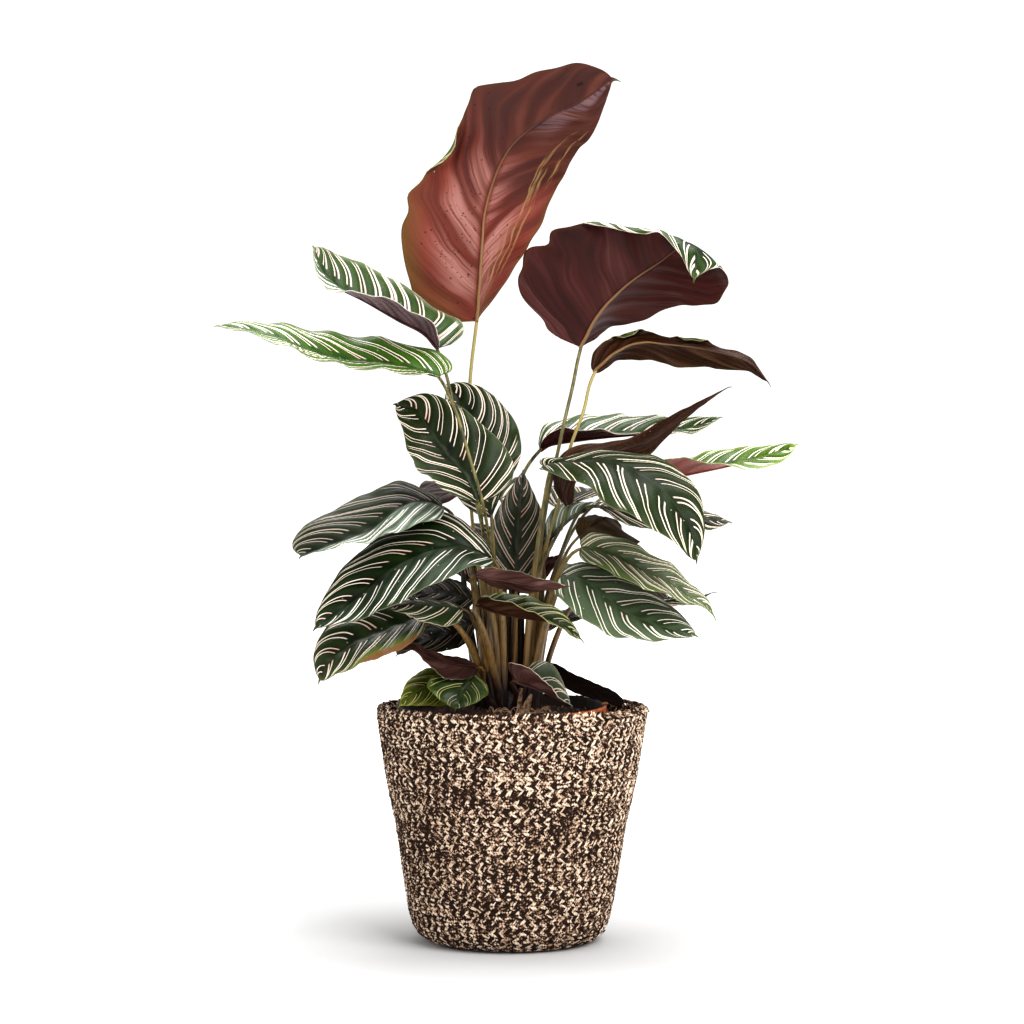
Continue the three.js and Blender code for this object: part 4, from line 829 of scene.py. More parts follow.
def braid_fibre():
    """Dried plant fibre, black-dyed and natural straw twisted together: matt, flecked along each strand."""
    material, put = new_material("braided_straw_fibre", 0.8, Specular_IOR_Level=0.2)
    tone = put("Attribute", attribute_name="tone")
    share = put("Attribute", attribute_name="share")
    place = put("TexCoord")
    # Two plies twist round each other, so a strand shows a dark or a pale piece each 1.5 to 2 mm.
    strand = put("Attribute", attribute_name="strand")
    twist = put("Math MULTIPLY_ADD", strand, 7.3, tone)
    twist = put("Math MULTIPLY_ADD", share, 2.6, twist)
    plies = put("TexNoise", inputs={"W": twist, "Scale": 1.0, "Detail": 0.0}, noise_dimensions="1D")
    grain = put("TexNoise", place, 1000 / 1.6, 3.0)
    shade = put("Math MULTIPLY_ADD", plies, 1.1, -0.7)
    shade = put("Math MULTIPLY_ADD", grain, 0.8, shade)
    shade = put("Math MULTIPLY_ADD", tone, 0.95, shade)
    # Each strand dives beneath its neighbours at both ends, where it is darkened by a painted shade.
    ends = put("Math SUBTRACT", share, 0.5)
    ends = put("Math ABSOLUTE", ends)
    ends = put("MapRange", ends, 0.34, 0.5, -0.27, -0.5)
    shade = put("Math ADD", shade, ends, use_clamp=True)
    ramp = put("ValToRGB", shade)
    stops = ramp.node.color_ramp.elements
    stops[0].position, stops[0].color = 0.0, linear("#281a13")
    stops[1].position, stops[1].color = 1.0, linear("#f6e6d2")
    for position, colour in ((0.4, "#35241b"), (0.48, "#664b3c"), (0.58, "#a0826c"), (0.72, "#d4b99e")):
        stop = stops.new(position)
        stop.color = linear(colour)
    return finish(material, ramp, grain, 0.5, 0.3)


def plain_grained(name, low, high, grain_mm, roughness, depth_mm, strength=0.5, **sockets):
    """A finish of two near tones in a grain of a real size, which also lifts its surface."""
    material, put = new_material(name, roughness, **sockets)
    place = put("TexCoord")
    grain = put("TexNoise", place, 1000 / grain_mm, 4.0)
    mixed = put("MapRange", grain, 0.35, 0.65)
    tint = put("Mix", mixed, low, high)
    return finish(material, tint, grain, strength, depth_mm)


def pot_plastic():
    """Moulded polypropylene, terracotta orange right of its rim, and dark brown on its inner wall and left of
    the rim.
    """
    material, put = new_material("orange_polypropylene", 0.5, Specular_IOR_Level=0.2)
    place = put("TexCoord")
    from_axis = put("VectorMath ADD", place, tuple(-v * MM for v in POT_RIM_PLACE))
    from_axis = put("VectorMath MULTIPLY", from_axis, (1.0, 1.0, 0.0))
    radius = put("VectorMath LENGTH", from_axis, out=1)
    grain = put("TexNoise", place, 1000 / 6, 3.0)
    sideways = put("SeparateXYZ", place)
    sideways = put("Math MULTIPLY_ADD", grain, 0.012, sideways)
    # Dark brown on the pot's inner wall and on its part left of the rim.
    inner = put("MapRange", radius, 76.4 * MM, 76.9 * MM, 1.0, 0.0)
    left = put("MapRange", sideways, 25 * MM, 33 * MM, 1.0, 0.0)
    darkened = put("Math MAXIMUM", inner, left)
    mixed = put("MapRange", grain, 0.35, 0.65)
    tint = put("Mix", mixed, "#b8592f", "#cf7546")
    tint = put("Mix", darkened, tint, "#28170d")
    return finish(material, tint, grain, 0.2, 0.2)


def bake(name, source, tree, inputs):
    """Runs a Geometry Nodes tree on a source object with its named inputs, and keeps the plain mesh."""
    modifier = source.modifiers.new("grow", "NODES")
    modifier.node_group = tree
    sockets = {item.name: item.identifier for item in tree.interface.items_tree if item.item_type == "SOCKET"}
    for key, value in inputs.items():
        modifier[sockets[key]] = value
    source.update_tag()
    graph = bpy.context.evaluated_depsgraph_get()
    mesh = bpy.data.meshes.new_from_object(source.evaluated_get(graph), preserve_all_data_layers=True,
                                           depsgraph=graph)
    source.modifiers.remove(modifier)
    bpy.data.objects.remove(source)
    mesh.name = name
    return placed(name, mesh)


def new_tree(name, **inputs):
    """A Geometry Nodes tree with geometry and these named inputs, what adds its nodes, and its inputs."""
    tree = bpy.data.node_groups.new(name, "GeometryNodeTree")
    tree.interface.new_socket("Geometry", in_out="INPUT", socket_type="NodeSocketGeometry")
    tree.interface.new_socket("Geometry", in_out="OUTPUT", socket_type="NodeSocketGeometry")
    for key, kind in inputs.items():
        tree.interface.new_socket(key.replace("_", " "), in_out="INPUT", socket_type="NodeSocket" + kind)
    tree.nodes.new("NodeGroupOutput")
    return tree, partial(add, tree), tree.nodes.new("NodeGroupInput").outputs


def realized(tree, geometry, given):
    """Ends a Geometry Nodes tree: real, smooth geometry in the material that the tree is given."""
    geometry = add(tree, "GeometryNodeRealizeInstances", geometry)
    geometry = add(tree, "GeometryNodeSetShadeSmooth", geometry)
    geometry = add(tree, "GeometryNodeSetMaterial", inputs={"Geometry": geometry,
                                                            "Material": given["Material"]})
    tree.links.new(geometry, tree.nodes["Group Output"].inputs[0])
    return tree


def braid_tree():
    """Slanting fibres in two rows of arms along a coiled path, so that each row reads as chevrons."""
    tree, put, given = new_tree("braid", Spacing="Float", Length="Float", Width="Float", Row="Float",
                                Slant="Float", Seed="Int", Material="Material")
    path = put("GeometryNodeMeshToCurve", given["Geometry"])
    path = put("GeometryNodeResampleCurve", inputs={"Curve": path, "Length": given["Spacing"]}, mode="LENGTH")
    along = put("GeometryNodeInputTangent")
    outward = put("GeometryNodeInputNamedAttribute", "outward", data_type="FLOAT_VECTOR")
    up = put("VectorMath CROSS_PRODUCT", outward, along)
    facing = put("FunctionNodeAxesToRotation", outward, along, primary_axis="Z", secondary_axis="X")

    # One fibre: a short bar with narrowed ends, along X.
    half = put("Math MULTIPLY", given["Length"], 0.5)
    back = put("Math MULTIPLY", given["Length"], -0.5)
    start = put("CombineXYZ", back)
    end = put("CombineXYZ", half)
    bar = put("GeometryNodeCurvePrimitiveLine", inputs={"Start": start, "End": end})
    bar = put("GeometryNodeResampleCurve", inputs={"Curve": bar, "Count": 3}, mode="COUNT")
    share = put("GeometryNodeSplineParameter")
    bar = put("GeometryNodeStoreNamedAttribute", bar, "share", share, domain="POINT")
    bulge = put("MapRange", share, 0.0, 1.0, -1.0, 1.0)
    bulge = put("Math POWER", bulge, 2.0)
    bulge = put("Math MULTIPLY_ADD", bulge, -0.6, 1.0)
    thick = put("Math MULTIPLY", given["Width"], 0.5)
    ring = put("GeometryNodeCurvePrimitiveCircle", inputs={"Resolution": 4, "Radius": thick})
    bar = put("GeometryNodeCurveToMesh", inputs={"Curve": bar, "Profile Curve": ring, "Scale": bulge,
                                                 "Fill Caps": True})

    arms = tree.nodes.new("GeometryNodeJoinGeometry")
    for arm, turn in ((0, -1.0), (1, 1.0)):
        seed = put("Math ADD", given["Seed"], 40.0 * arm)
        shift = put("Math MULTIPLY", given["Row"], -0.25 * turn)
        offset = put("VectorMath SCALE", up, inputs={"Scale": shift})
        jitter = put("FunctionNodeRandomValue", (-0.45 * MM,) * 3, (0.45 * MM,) * 3, inputs={"Seed": seed},
                     data_type="FLOAT_VECTOR")
        offset = put("VectorMath ADD", offset, jitter)
        points = put("GeometryNodeSetPosition", inputs={"Geometry": path, "Offset": offset})
        swing = put("FunctionNodeRandomValue", inputs={2: -0.22, 3: 0.22, "Seed": seed}, out=1)
        slant = put("Math MULTIPLY_ADD", given["Slant"], turn, swing)
        spin = put("CombineXYZ", inputs={2: slant})
        turned = put("FunctionNodeRotateRotation", facing, spin, rotation_space="LOCAL")
        size = put("FunctionNodeRandomValue", (0.8, 0.75, 0.7), (1.25, 1.25, 1.1), inputs={"Seed": seed},
                   data_type="FLOAT_VECTOR")
        fibres = put("GeometryNodeInstanceOnPoints", inputs={"Points": points, "Instance": bar,
                                                             "Rotation": turned, "Scale": size})
        draw = put("FunctionNodeRandomValue", inputs={2: 0.0, 3: 1.0, "Seed": seed}, out=1)
        # The basket's patches, with its painted shade on the left side and painted light by the rim.
        paleness = put("GeometryNodeInputNamedAttribute", "paleness", data_type="FLOAT")
        # Two fibres make a strand, and straw strands mostly alternate with dyed ones.
        strand = put("Math MULTIPLY", put("GeometryNodeInputIndex"), 0.5)
        strand = put("Math FLOOR", strand)
        turn_about = put("Math MODULO", strand, 2.0)
        straw = put("Math MULTIPLY_ADD", turn_about, 0.4, paleness)
        tone = put("Math MULTIPLY_ADD", draw, 0.6, straw, use_clamp=True)
        fibres = put("GeometryNodeStoreNamedAttribute", fibres, "strand", strand, domain="INSTANCE")
        fibres = put("GeometryNodeStoreNamedAttribute", fibres, "tone", tone, domain="INSTANCE")
        tree.links.new(fibres, arms.inputs[0])
    return realized(tree, arms.outputs[0], given)


def scatter_tree():
    """Small rounded lumps scattered over a surface: crumbs, bark or drops, by their size."""
    tree, put, given = new_tree("scatter", Count_per_m2="Float", Smallest="Vector", Largest="Vector",
                                Tumble="Float", Facets="Int", Seed="Int", Material="Material")
    spots = put("GeometryNodeDistributePointsOnFaces", inputs={"Mesh": given["Geometry"],
                                                               "Density": given["Count per m2"],
                                                               "Seed": given["Seed"]}, out="all")
    lump = put("GeometryNodeMeshIcoSphere", inputs={"Radius": 0.5, "Subdivisions": given["Facets"]})
    size = put("FunctionNodeRandomValue", given["Smallest"], given["Largest"],
               inputs={"Seed": given["Seed"]}, data_type="FLOAT_VECTOR")
    low = put("VectorMath SCALE", (-1.0, -1.0, -3.1), inputs={"Scale": given["Tumble"]})
    high = put("VectorMath SCALE", (1.0, 1.0, 3.1), inputs={"Scale": given["Tumble"]})
    spin = put("FunctionNodeRandomValue", low, high, inputs={"Seed": given["Seed"]}, data_type="FLOAT_VECTOR")
    turned = put("FunctionNodeRotateRotation", spots["Rotation"], spin, rotation_space="LOCAL")
    lumps = put("GeometryNodeInstanceOnPoints", inputs={"Points": spots["Points"], "Instance": lump,
                                                        "Rotation": turned, "Scale": size})
    return realized(tree, lumps, given)


def rod_tree():
    """Round bars along chains of edges, each point as thick as its attribute says."""
    tree, put, given = new_tree("rods", Sides="Int", Step="Float", Material="Material")
    path = put("GeometryNodeMeshToCurve", given["Geometry"])
    path = put("GeometryNodeResampleCurve", inputs={"Curve": path, "Length": given["Step"]}, mode="LENGTH")
    thick = put("GeometryNodeInputNamedAttribute", "thick", data_type="FLOAT")
    ring = put("GeometryNodeCurvePrimitiveCircle", inputs={"Resolution": given["Sides"], "Radius": 1.0})
    rods = put("GeometryNodeCurveToMesh", inputs={"Curve": path, "Profile Curve": ring, "Scale": thick,
                                                  "Fill Caps": True})
    return realized(tree, rods, given)


def chain_object(name, chains, **values):
    """An object of open chains of edges; each value lists its numbers, chain by chain."""
    vertices = np.vstack(chains) * MM
    edges, start = [], 0
    for chain in chains:
        edges += [(start + i, start + i + 1) for i in range(len(chain) - 1)]
        start += len(chain)
    mesh = bpy.data.meshes.new(name)
    mesh.from_pydata(vertices.tolist(), edges, [])
    store(mesh, {key: np.concatenate(numbers) for key, numbers in values.items()})
    return placed(name, mesh)


def vein_starts(share, across, sweep):
    """Where on the midrib the vein starts that passes each place of a blade."""
    starts = np.linspace(-0.6, 1, 321)
    swept = sweep * (0.45 + 0.55 * smoothstep(0, 0.3, starts))
    # The last veins lie along the margin and meet at the tip.
    swept = swept + (0.93 - sweep) * smoothstep(0.35, 0.95, starts)
    found = np.zeros((len(share), len(across)))
    for j, a in enumerate(across):
        path = starts + swept * (0.6 * a + 0.4 * a * a) * (1 - starts)
        found[:, j] = np.interp(share, path, starts)
    return found


def blade_sheet(leaf, index):
    """The middle surface of a blade in rows of points, its veins' numbers, and the shares of its points."""
    rows, half = BLADE_GRID[leaf["size"]]
    even = np.linspace(0, 1, rows)
    share = 0.45 * even + 0.55 * (0.5 - 0.5 * np.cos(math.pi * even))
    spine, along, length = along_curve(leaf["midrib"], share)
    rise, fall = leaf["outline"]
    crest = rise / (rise + fall)
    width = share ** rise * (1 - share) ** fall / (crest ** rise * (1 - crest) ** fall)
    width = np.maximum(width, BLADE_END_WIDTH)
    across = 1 - np.linspace(1, 0, half + 1) ** 1.35
    sheet = np.zeros((rows, 2 * half + 1, 3))
    for side, key in ((1, "right"), (-1, "left")):
        reach = curve_points(leaf[key], share, power=0)
        for end in (0, -1):
            reach[end] -= along[end] * (reach[end] @ along[end])
        up = unit(np.cross(reach, along) if side == 1 else np.cross(along, reach))
        wide = np.linalg.norm(reach, axis=1) * width
        for which, middle, spread, depth in leaf["dents"]:
            if which == side:
                wide = wide + depth * np.exp(-((share - middle) / spread) ** 2)
        outward = unit(reach)
        run = across[None, :] * wide[:, None]
        lift = np.zeros_like(run)
        for which, first, last, radius, degrees in leaf["rolls"]:
            if which != side:
                continue
            soft = 0.05
            part = smoothstep(first - soft, first + soft, share) * (1
                                                                    - smoothstep(last - soft, last + soft,
                                                                                 share))
            rolled = part[:, None] > 1e-3
            angle = math.radians(abs(degrees)) * part + 1e-4
            bend = np.minimum(radius, wide * 0.5)
            inner = wide - bend * np.where(angle < math.pi / 2, np.sin(np.minimum(angle, math.pi / 2)), 1)
            flat = across[None, :] * (inner + bend * angle)[:, None]
            past = np.maximum(flat - inner[:, None], 0) / bend[:, None]
            lift = np.where(rolled, bend[:, None] * (1 - np.cos(past)) * np.sign(degrees), lift)
            run = np.where(rolled, np.minimum(flat, inner[:, None]) + bend[:, None] * np.sin(past), run)
            # The blade gives way beneath its own roll, so that the outline stays where it was.
            give = smoothstep(0.3, 1, across)[None, :] * (1.5 * bend * part)[:, None]
            lift = lift - np.sign(degrees) * give
        t = across[None, :]
        height, number = leaf["waves"]
        phase = index + (0 if side == 1 else 2)
        wave = WAVE_SHARE * height * t * t * np.sin(2 * math.pi * number * share + phase)[:, None]
        wave = wave * np.minimum(1, 1.5 * width)[:, None]
        arch = MARGIN_ARCH * wide[:, None] * 4 * t * (1 - t)
        ripple = 0.25 * smoothstep(0.55, 1, t) * np.sin(share * 61 + 3 * index + side)[:, None]
        ripple = ripple * np.minimum(1, 2 * width)[:, None]
        veins = vein_starts(share, across, leaf["sweep"][0 if side == 1 else 1])
        veins = veins * (1 - 0.14 * veins) * length / leaf["pitch"]
        quilt = 0.45 * np.sqrt(4 * t * (1 - t) + 1e-6) * np.cos(2 * math.pi
                                                                * (veins + (LEFT_SHIFT if side < 0 else 0)))
        quilt = quilt * np.minimum(1, 2 * width)[:, None]
        lift = lift + wave + arch + ripple + quilt
        points = spine[:, None] + outward[:, None] * run[..., None] + up[:, None] * lift[..., None]
        if side == 1:
            sheet[:, half:] = points
            right = veins
        else:
            sheet[:, :half + 1] = points[:, ::-1]
            left = veins
    numbers = np.hstack([left[:, :0:-1], right]) + index * VEIN_NUMBERS + 40
    sides = np.concatenate([-across[:0:-1], across])
    return sheet, numbers, share, sides


def pair_spacing(sheet, numbers):
    """Millimetres from one pair of pinstripes to the next, measured square to the veins."""
    along, across = np.gradient(sheet, axis=0), np.gradient(sheet, axis=1)
    rise, slide = np.gradient(numbers, axis=0), np.gradient(numbers, axis=1)
    e, f, g = (along ** 2).sum(-1), (along * across).sum(-1), (across ** 2).sum(-1)
    area = np.maximum(e * g - f * f, 1e-6)
    steep = (g * rise ** 2 - 2 * f * rise * slide + e * slide ** 2) / area
    return 1 / np.sqrt(np.maximum(steep, 1e-4))


def drip_tip(sheet, numbers, share, leaf):
    """Draws the blade's end out into the fine point that such leaves have."""
    middle = sheet.shape[1] // 2
    ahead = unit(sheet[-1, middle] - sheet[-4, middle])
    ahead = unit(ahead + np.array(leaf["drip_turn"]))
    drop = leaf["drip"]
    spread = sheet[-1] - sheet[-1, middle]
    added = []
    for f in DRIP_SHARES:
        sink = np.array([0, 0, -0.35 * drop * f * f])
        added.append(sheet[-1, middle] + ahead * drop * f + sink + spread * (1 - 0.85 * f))
    sheet = np.concatenate([sheet, added])
    numbers = np.concatenate([numbers, np.repeat(numbers[-1:], len(DRIP_SHARES), 0)])
    return sheet, numbers, np.concatenate([share, [1.0] * len(DRIP_SHARES)])


def grow_leaf(leaf, index, skins, undersides, rib_material):
    """One leaf: a thin closed blade with a raised midrib beneath it."""
    sheet, numbers, share, sides = blade_sheet(leaf, index)
    sheet, numbers, share = drip_tip(sheet, numbers, share, leaf)
    rows, columns = sheet.shape[:2]
    normal = unit(np.cross(np.gradient(sheet, axis=1), np.gradient(sheet, axis=0)))
    top = sheet + normal * BLADE_THICKNESS / 2
    bottom = sheet - normal * BLADE_THICKNESS / 2
    count = rows * columns
    faces = grid_faces(rows, columns) + grid_faces(rows, columns, count, flip=True)
    # The fine tip is as green beneath as it is above.
    green_rows = len(DRIP_SHARES) - 1
    slots = [0] * (rows - 1) + [1] * (rows - 1 - green_rows) + [0] * green_rows
    slots = list(np.repeat(slots, columns - 1))
    rim = [i * columns for i in range(rows)] + [(rows - 1) * columns + j for j in range(1, columns)]
    rim += [i * columns + columns - 1 for i in range(rows - 2, -1, -1)] + list(range(columns - 2, 0, -1))
    for a, b in zip(rim, rim[1:] + rim[:1]):
        faces.append((a, b, b + count, a + count))
        slots.append(0)
    middle = columns // 2
    foot = STALK_TOP_RADIUS * RIB_SHARE[leaf["size"]]
    radius = np.interp(share, [0, 0.6, 1], [foot, 0.4 * foot, 0.2])
    core = sheet[:, middle] - normal[:, middle] * (radius * 0.75)[:, None]
    rib, rib_faces = tube(core[:-2], radius[:-2], RIB_SIDES, 2 * count)
    faces += rib_faces
    slots += [2] * len(rib_faces)
    vertices = np.vstack([top.reshape(-1, 3), bottom.reshape(-1, 3), rib])
    u = np.repeat(share, columns)
    across = np.tile(sides, rows)
    flat = np.stack([numbers.ravel(), across], 1)
    blade = np.stack([u, across], 1)
    ribbed = np.stack([np.repeat(share[:-2], RIB_SIDES), np.zeros(len(rib))], 1)
    uvs = {"veins": np.vstack([flat, flat, ribbed]), "blade": np.vstack([blade, blade, ribbed])}
    under = undersides[leaf["under"]]
    materials = [skins[leaf["skin"]], under, rib_material if leaf["tan_rib"] else under]
    spacing = pair_spacing(sheet, numbers).ravel()
    spacing = np.concatenate([spacing, spacing, np.full(len(rib), 10.0)])
    piece = new_object("blade_" + leaf["name"], vertices, faces, materials, slots, uvs, {"spacing": spacing})
    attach(piece, "root")
    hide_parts("leaf_" + leaf["name"])
    if "drops" in leaf:
        first, last, inner, outer = leaf["drops"]
        kept_rows = (share > first) & (share < last)
        kept_columns = (sides > inner) & (sides < outer)
        patch = (sheet - normal * BLADE_THICKNESS * 0.6)[kept_rows][:, kept_columns]
        bed = new_object("drop_bed", patch.reshape(-1, 3), grid_faces(*patch.shape[:2], flip=True))
        # Dried sap drops: dark red-brown and glossy.
        sap = plain_grained("dried_sap_drops", "#2c100d", "#4a1c16", 1, 0.25, 0.05, 0.1)
        drops = bake("sap_drops", bed, scatter_tree(), {
            "Count per m2": 26000, "Smallest": (0.5 * MM, 0.5 * MM, 0.4 * MM),
            "Largest": (1.5 * MM, 1.2 * MM, 0.8 * MM), "Tumble": 0.0, "Facets": 2, "Seed": 6,
            "Material": sap})
        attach(drops, "root")


def grow_stalks(stalk_material, sheath_material):
    """The stalks, and the dark sheaths that wrap them at the crown."""
    chains, thick, ripe, sheaths, wraps = [], [], [], [], []
    draw = np.random.default_rng(11)
    for leaf in LEAVES:
        start = np.array(leaf["midrib"][0], float)
        ahead = along_curve(leaf["midrib"], [0])[1][0]
        root = np.array([*leaf["root"], STALK_ROOT_Z], float)
        points = [root, *leaf["stalk"][::-1], start - 6 * ahead, start - 0.5 * ahead]
        share = np.linspace(0, 1, STALK_POINTS)
        place = along_curve(points, share)[0]
        place[-1] += ahead * 2.5
        for _ in range(6):
            place[1:-1] = 0.25 * place[:-2] + 0.5 * place[1:-1] + 0.25 * place[2:]
        chains.append(place)
        slim = STALK_TOP_RADIUS * (1 + RIB_SHARE[leaf["size"]]) / 2
        broad = STALK_ROOT_RADIUS * (0.7 if leaf["size"] == "small" else 1)
        heights = [STALK_ROOT_Z, SHEATHS_END_Z, SLIM_STALK_Z]
        sheathed = np.interp(place[:, 2], heights, [broad, 0.9 * broad, slim])
        thick.append(np.minimum(sheathed, np.interp(share, [0, 0.45, 0.9, 1],
                                                    [broad, broad, 1.1 * slim, slim])) * MM)
        ripe.append(np.full(len(place), leaf.get("ripe", draw.uniform(-0.4, 0.5))))
        wrapped = draw.uniform(10, 34)
        low = place[place[:, 2] < STALK_ROOT_Z + wrapped]
        if len(low) < 3:
            low = place[:3]
        low = curve_points(low, np.linspace(0, 1, SHEATH_POINTS))
        low[0, 2] -= 4
        sheaths.append(low)
        wraps.append(np.interp(np.linspace(0, 1, SHEATH_POINTS), [0, 0.6, 0.9, 1], [3.9, 3.2, 2.7, 1.2]) * MM)
    # Stubs of leaves that were cut away stand at the back of the bundle.
    for k in range(STUBS):
        x, y = -25 + 2.4 * k, 6 + 5 * draw.uniform(0, 1)
        top = (1.6 * x + 3 * draw.uniform(-1, 1), y + 4, draw.uniform(250, 276))
        f = np.linspace(0, 1, 30)[:, None]
        chains.append(np.array([x, y, STALK_ROOT_Z]) * (1 - f) + np.array(top) * f)
        thick.append(np.interp(f[:, 0], [0, 0.9, 1], [3.0, 2.2, 1.2]) * MM)
        ripe.append(np.full(30, -0.6))
    tree = rod_tree()
    stalks = chain_object("stalk_lines", chains, thick=thick, ripe=ripe)
    stalks = bake("stalks", stalks, tree, {"Sides": 12, "Step": 5 * MM, "Material": stalk_material})
    wrapped = chain_object("sheath_lines", sheaths, thick=wraps)
    wrapped = bake("crown_sheaths", wrapped, tree, {"Sides": 10, "Step": 4 * MM, "Material": sheath_material})
    for piece in (stalks, wrapped):
        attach(piece, "root")
        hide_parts("stem_clump")

    # The crown itself: the short thick root stock that the sheaths stand on.
    profile = [(0.5, 163), (19, 163), (20, 168), (18, 173), (13, 178), (7, 182), (0.5, 184)]
    vertices, turns = [], 40
    for radius, height in profile:
        for k in range(turns):
            turn = 2 * math.pi * k / turns
            rough = radius * (1 + 0.07 * math.sin(7 * turn + height) + 0.05 * math.sin(11 * turn + 2))
            vertices.append((CROWN_PLACE[0] + rough * math.cos(turn),
                             CROWN_PLACE[1] + rough * math.sin(turn), height))
    crown = new_object("crown_stock", vertices, closed_faces(len(profile), turns), [sheath_material])
    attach(crown, "root")
    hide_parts("stem_clump")


def weave_basket():
    """The basket: a dark core of painted shade, and the coiled braid over all that shows of it."""
    outline = np.array(BASKET_OUTLINE, float)
    steps = np.concatenate([[0], np.cumsum(np.linalg.norm(np.diff(outline, axis=0), axis=1))])
    turns = steps[-1] / BRAID_ROW
    at = np.linspace(0, steps[-1], int(turns * BRAID_POINTS))
    radius, height = np.interp(at, steps, outline[:, 0]), np.interp(at, steps, outline[:, 1])
    lean = BASKET_LEAN * (1 - height / BASKET_HEIGHT)
    turn = -2 * math.pi * at / BRAID_ROW
    place = np.stack([radius * np.cos(turn) + lean, radius * np.sin(turn), height], 1)
    slope = unit(np.stack([np.gradient(radius, at), np.gradient(height, at)], 1))
    flat = slope[:, 1] * -1
    outward = np.stack([flat * np.cos(turn), flat * np.sin(turn), slope[:, 0]], 1)
    # Lighter and darker patches at random, a painted shade that darkens the left side of the basket, and
    # painted light that makes the rows by the rim paler.
    patch = 0.03 * np.sin(3 * turn + height * 0.09) + 0.03 * np.sin(5 * turn - height * 0.05 + 2)
    patch += 0.03 * np.sin(13 * turn + height * 0.31 + 1) - 0.09 * np.clip(-np.cos(turn), 0, 1) ** 2 + 0.015
    paleness = patch + 0.05 * smoothstep(90, 160, height)
    material = braid_fibre()
    tree = braid_tree()
    cuts = [0, *(int(len(at) * share) for share in BRAID_SHARES), len(at) - 1]
    # The braid is joined anew about once in a turn, so that its strands don't line up from row to row.
    draw = np.random.default_rng(21)
    joins = [int((row + draw.uniform(0.1, 0.9)) * BRAID_POINTS) for row in range(int(turns))]
    for k, name in enumerate(("braid_rim", "braid_side", "braid_lower_side", "braid_base")):
        ends = [cuts[k]] + [join for join in joins if cuts[k] + 4 < join < cuts[k + 1] - 4] + [cuts[k + 1]]
        parts = [slice(a, b + 1) for a, b in zip(ends, ends[1:])]
        line = chain_object(name + "_line", [place[part] for part in parts],
                            outward=[outward[part] for part in parts],
                            paleness=[paleness[part] for part in parts])
        piece = bake(name, line, tree, {
            "Spacing": FIBRE_SPACING * MM, "Length": FIBRE_LENGTH * MM, "Width": FIBRE_WIDTH * MM,
            "Row": BRAID_ROW * MM, "Slant": FIBRE_SLANT, "Seed": 5 + k, "Material": material})
        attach(piece, "root")
        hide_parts("basket")

    # Loose ends of straw stand out from the rim.
    draw = np.random.default_rng(9)
    hairs, thick = [], []
    for _ in range(RIM_HAIRS):
        angle = draw.uniform(0, 2 * math.pi)
        away, high = draw.uniform(-0.4, 1), draw.uniform(0.2, 1)
        f = np.linspace(0, 1, 5)[:, None]
        out = np.array([math.cos(angle), math.sin(angle), 0])
        side = np.array([-out[1], out[0], 0]) * draw.uniform(-1, 1)
        start = out * draw.uniform(95, 98.5) + [0, 0, draw.uniform(171, 172.8)]
        rise = np.array([0, 0, high * 3]) * f * (1.6 - f)
        hairs.append(start + (out * away + side) * draw.uniform(2, 5) * f + rise)
        thick.append(np.linspace(0.14, 0.06, 5) * MM)
    straw = plain_grained("loose_straw", "#6c5442", "#cdb496", 3, 0.8, 0.1)
    hairs = bake("rim_hairs", chain_object("hair_lines", hairs, thick=thick), rod_tree(),
                 {"Sides": 3, "Step": 1.2 * MM, "Material": straw})
    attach(hairs, "root")
    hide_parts("basket")

    # Painted shade: a matt, nearly black shell inside the weave, seen only in the gaps of the braid, so that
    # they look dark.
    gap_shade_material = plain_grained("painted_gap_shade", "#120b08", "#2c1e16", 1.5, 0.9, 0.6)
    outer = outline[6:] - [1.0, 0]
    outer[-5:, 1] += 0.6
    profile = np.vstack([BASKET_INSIDE, outer, [(1, 1.7)]])
    ring = 96
    angle = np.arange(ring) / ring * 2 * math.pi
    vertices = [(r * math.cos(a) + BASKET_LEAN * (1 - z / BASKET_HEIGHT), r * math.sin(a), z)
                for r, z in profile for a in angle]
    faces = closed_faces(len(profile), ring, flip=True)
    core = new_object("basket_core", vertices, faces, [gap_shade_material])
    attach(core, "root")
    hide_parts("basket")


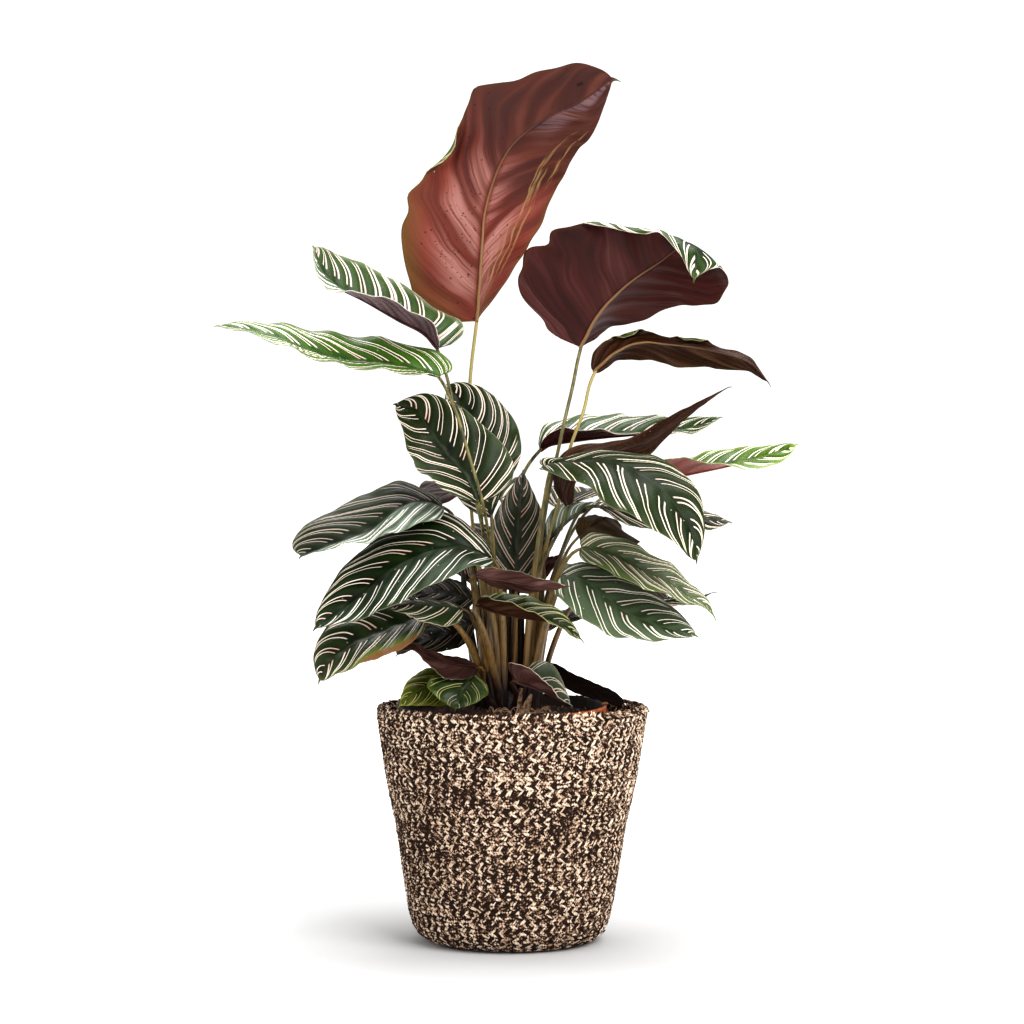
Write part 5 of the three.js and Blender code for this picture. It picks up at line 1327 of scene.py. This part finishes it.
def lay_soil():
    """Crumbs and bark over the soil's own solid, which keeps its place in the pot."""
    rings, turns = 12, 72
    vertices = []
    for i in range(rings):
        radius = 17 + (71.5 - 17) * i / (rings - 1)
        height = float(np.interp(radius, [17, 26, 38, 54, 72], [163, 162, 160.5, 158, 157])) - 0.6
        for k in range(turns):
            turn = 2 * math.pi * k / turns
            x, y = radius * math.cos(turn), radius * math.sin(turn)
            lifted = y * math.sin(POT_TILT) + height * math.cos(POT_TILT)
            vertices.append((x + POT_PLACE[0], y + POT_PLACE[1] - height * math.sin(POT_TILT),
                             lifted + POT_PLACE[2]))
    earth = plain_grained("potting_compost", "#1d120c", "#4a3222", 2.2, 0.95, 1.0, 0.8)
    dry = plain_grained("dry_bark", "#5a3a24", "#a9814f", 1.2, 0.85, 0.5)
    tree = scatter_tree()
    for name, density, low, high, finish, seed in (
            ("compost_crumbs", 130000, (1.6, 1.6, 1.2), (4.6, 4.2, 3.2), earth, 3),
            ("bark_bits", 6000, (1.2, 4.0, 1.0), (2.6, 13.0, 2.0), dry, 8)):
        surface = new_object(name + "_bed", vertices, grid_faces(rings, turns, around=True, flip=True))
        piece = bake(name, surface, tree, {
            "Count per m2": density, "Smallest": tuple(v * MM for v in low),
            "Largest": tuple(v * MM for v in high), "Tumble": 1.0, "Facets": 1, "Seed": seed,
            "Material": finish})
        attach(piece, "root")
    dress_node("soil", earth)

    # A knot of dry roots hangs over the pot's rim at the right.
    x, y, z = KNOT_PLACE
    bed = [(x + i * 2.5, y + j * 3, z - 0.3 * (i * i + j * j)) for j in (-1, 0, 1) for i in (-1, 0, 1)]
    surface = new_object("knot_bed", bed, grid_faces(3, 3))
    knot = bake("root_knot", surface, tree, {
        "Count per m2": 900000, "Smallest": (1.0 * MM,) * 3, "Largest": (3.4 * MM, 2.4 * MM, 2.2 * MM),
        "Tumble": 1.0, "Facets": 1, "Seed": 4, "Material": dry})
    # Dry roots lie in arcs before the crown.
    draw = np.random.default_rng(21)
    arcs, thick = [], []
    for _ in range(DRY_ROOTS):
        start = np.array([draw.uniform(-14, 32), draw.uniform(-52, -26), 170.5])
        heading = draw.uniform(0, 2 * math.pi)
        reach, arch = draw.uniform(5, 16), draw.uniform(0.8, 4.6)
        f = np.linspace(0, 1, 9)
        turn = heading + draw.uniform(-0.9, 0.9) * f
        steps = [np.cos(turn) * reach * f, np.sin(turn) * reach * f * 0.6, arch * 4 * f * (1 - f)]
        arcs.append(start + np.stack(steps, 1))
        thick.append(np.linspace(draw.uniform(0.25, 0.6), 0.15, 9) * MM)
    # One dry sheath and the stub of an old stalk stand among them.
    arcs += [np.linspace((4.5, -31, 168), (6.5, -33, 188), 9), np.linspace((8, -34, 168), (14, -38, 184), 9)]
    thick += [np.linspace(1.9, 1.6, 9) * MM, np.array([3.4, 3.4, 3.2, 3.0, 2.7, 2.4, 2.0, 1.5, 0.8]) * MM]
    root_skin = plain_grained("dry_root_fibre", "#6a4a36", "#c8a888", 2.5, 0.85, 0.3)
    lines = chain_object("root_lines", arcs, thick=thick)
    roots = bake("dry_roots", lines, rod_tree(), {"Sides": 6, "Step": 1.5 * MM, "Material": root_skin})
    for piece in (knot, roots):
        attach(piece, "root")


def dress_node(node, material):
    """Gives a CAD node its finish."""
    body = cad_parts[node]
    body.data.materials.clear()
    body.data.materials.append(material)


stage_scene()
SKIN_MATERIALS = {key: leaf_skin("calathea_leaf_" + key, *colours.split(), **look)
                  for key, (colours, look) in SKINS.items()}
UNDERSIDE_MATERIALS = {key: leaf_underside("leaf_underside_" + key, *colours.split(), key == AGED_UNDERSIDE)
                       for key, colours in UNDERSIDES.items()}
RIB_MATERIAL = rib_skin()
for number, leaf in enumerate(LEAVES):
    grow_leaf(leaf, number, SKIN_MATERIALS, UNDERSIDE_MATERIALS, RIB_MATERIAL)
grow_stalks(stalk_skin(), sheath_skin())
weave_basket()
lay_soil()
dress_node("nursery_pot", pot_plastic())
# Waterproof polythene film: dark and a little shiny.
dress_node("basket_liner", plain_grained("polythene_film", "#2a221d", "#3a302a", 6, 0.35, 0.4, 0.3))
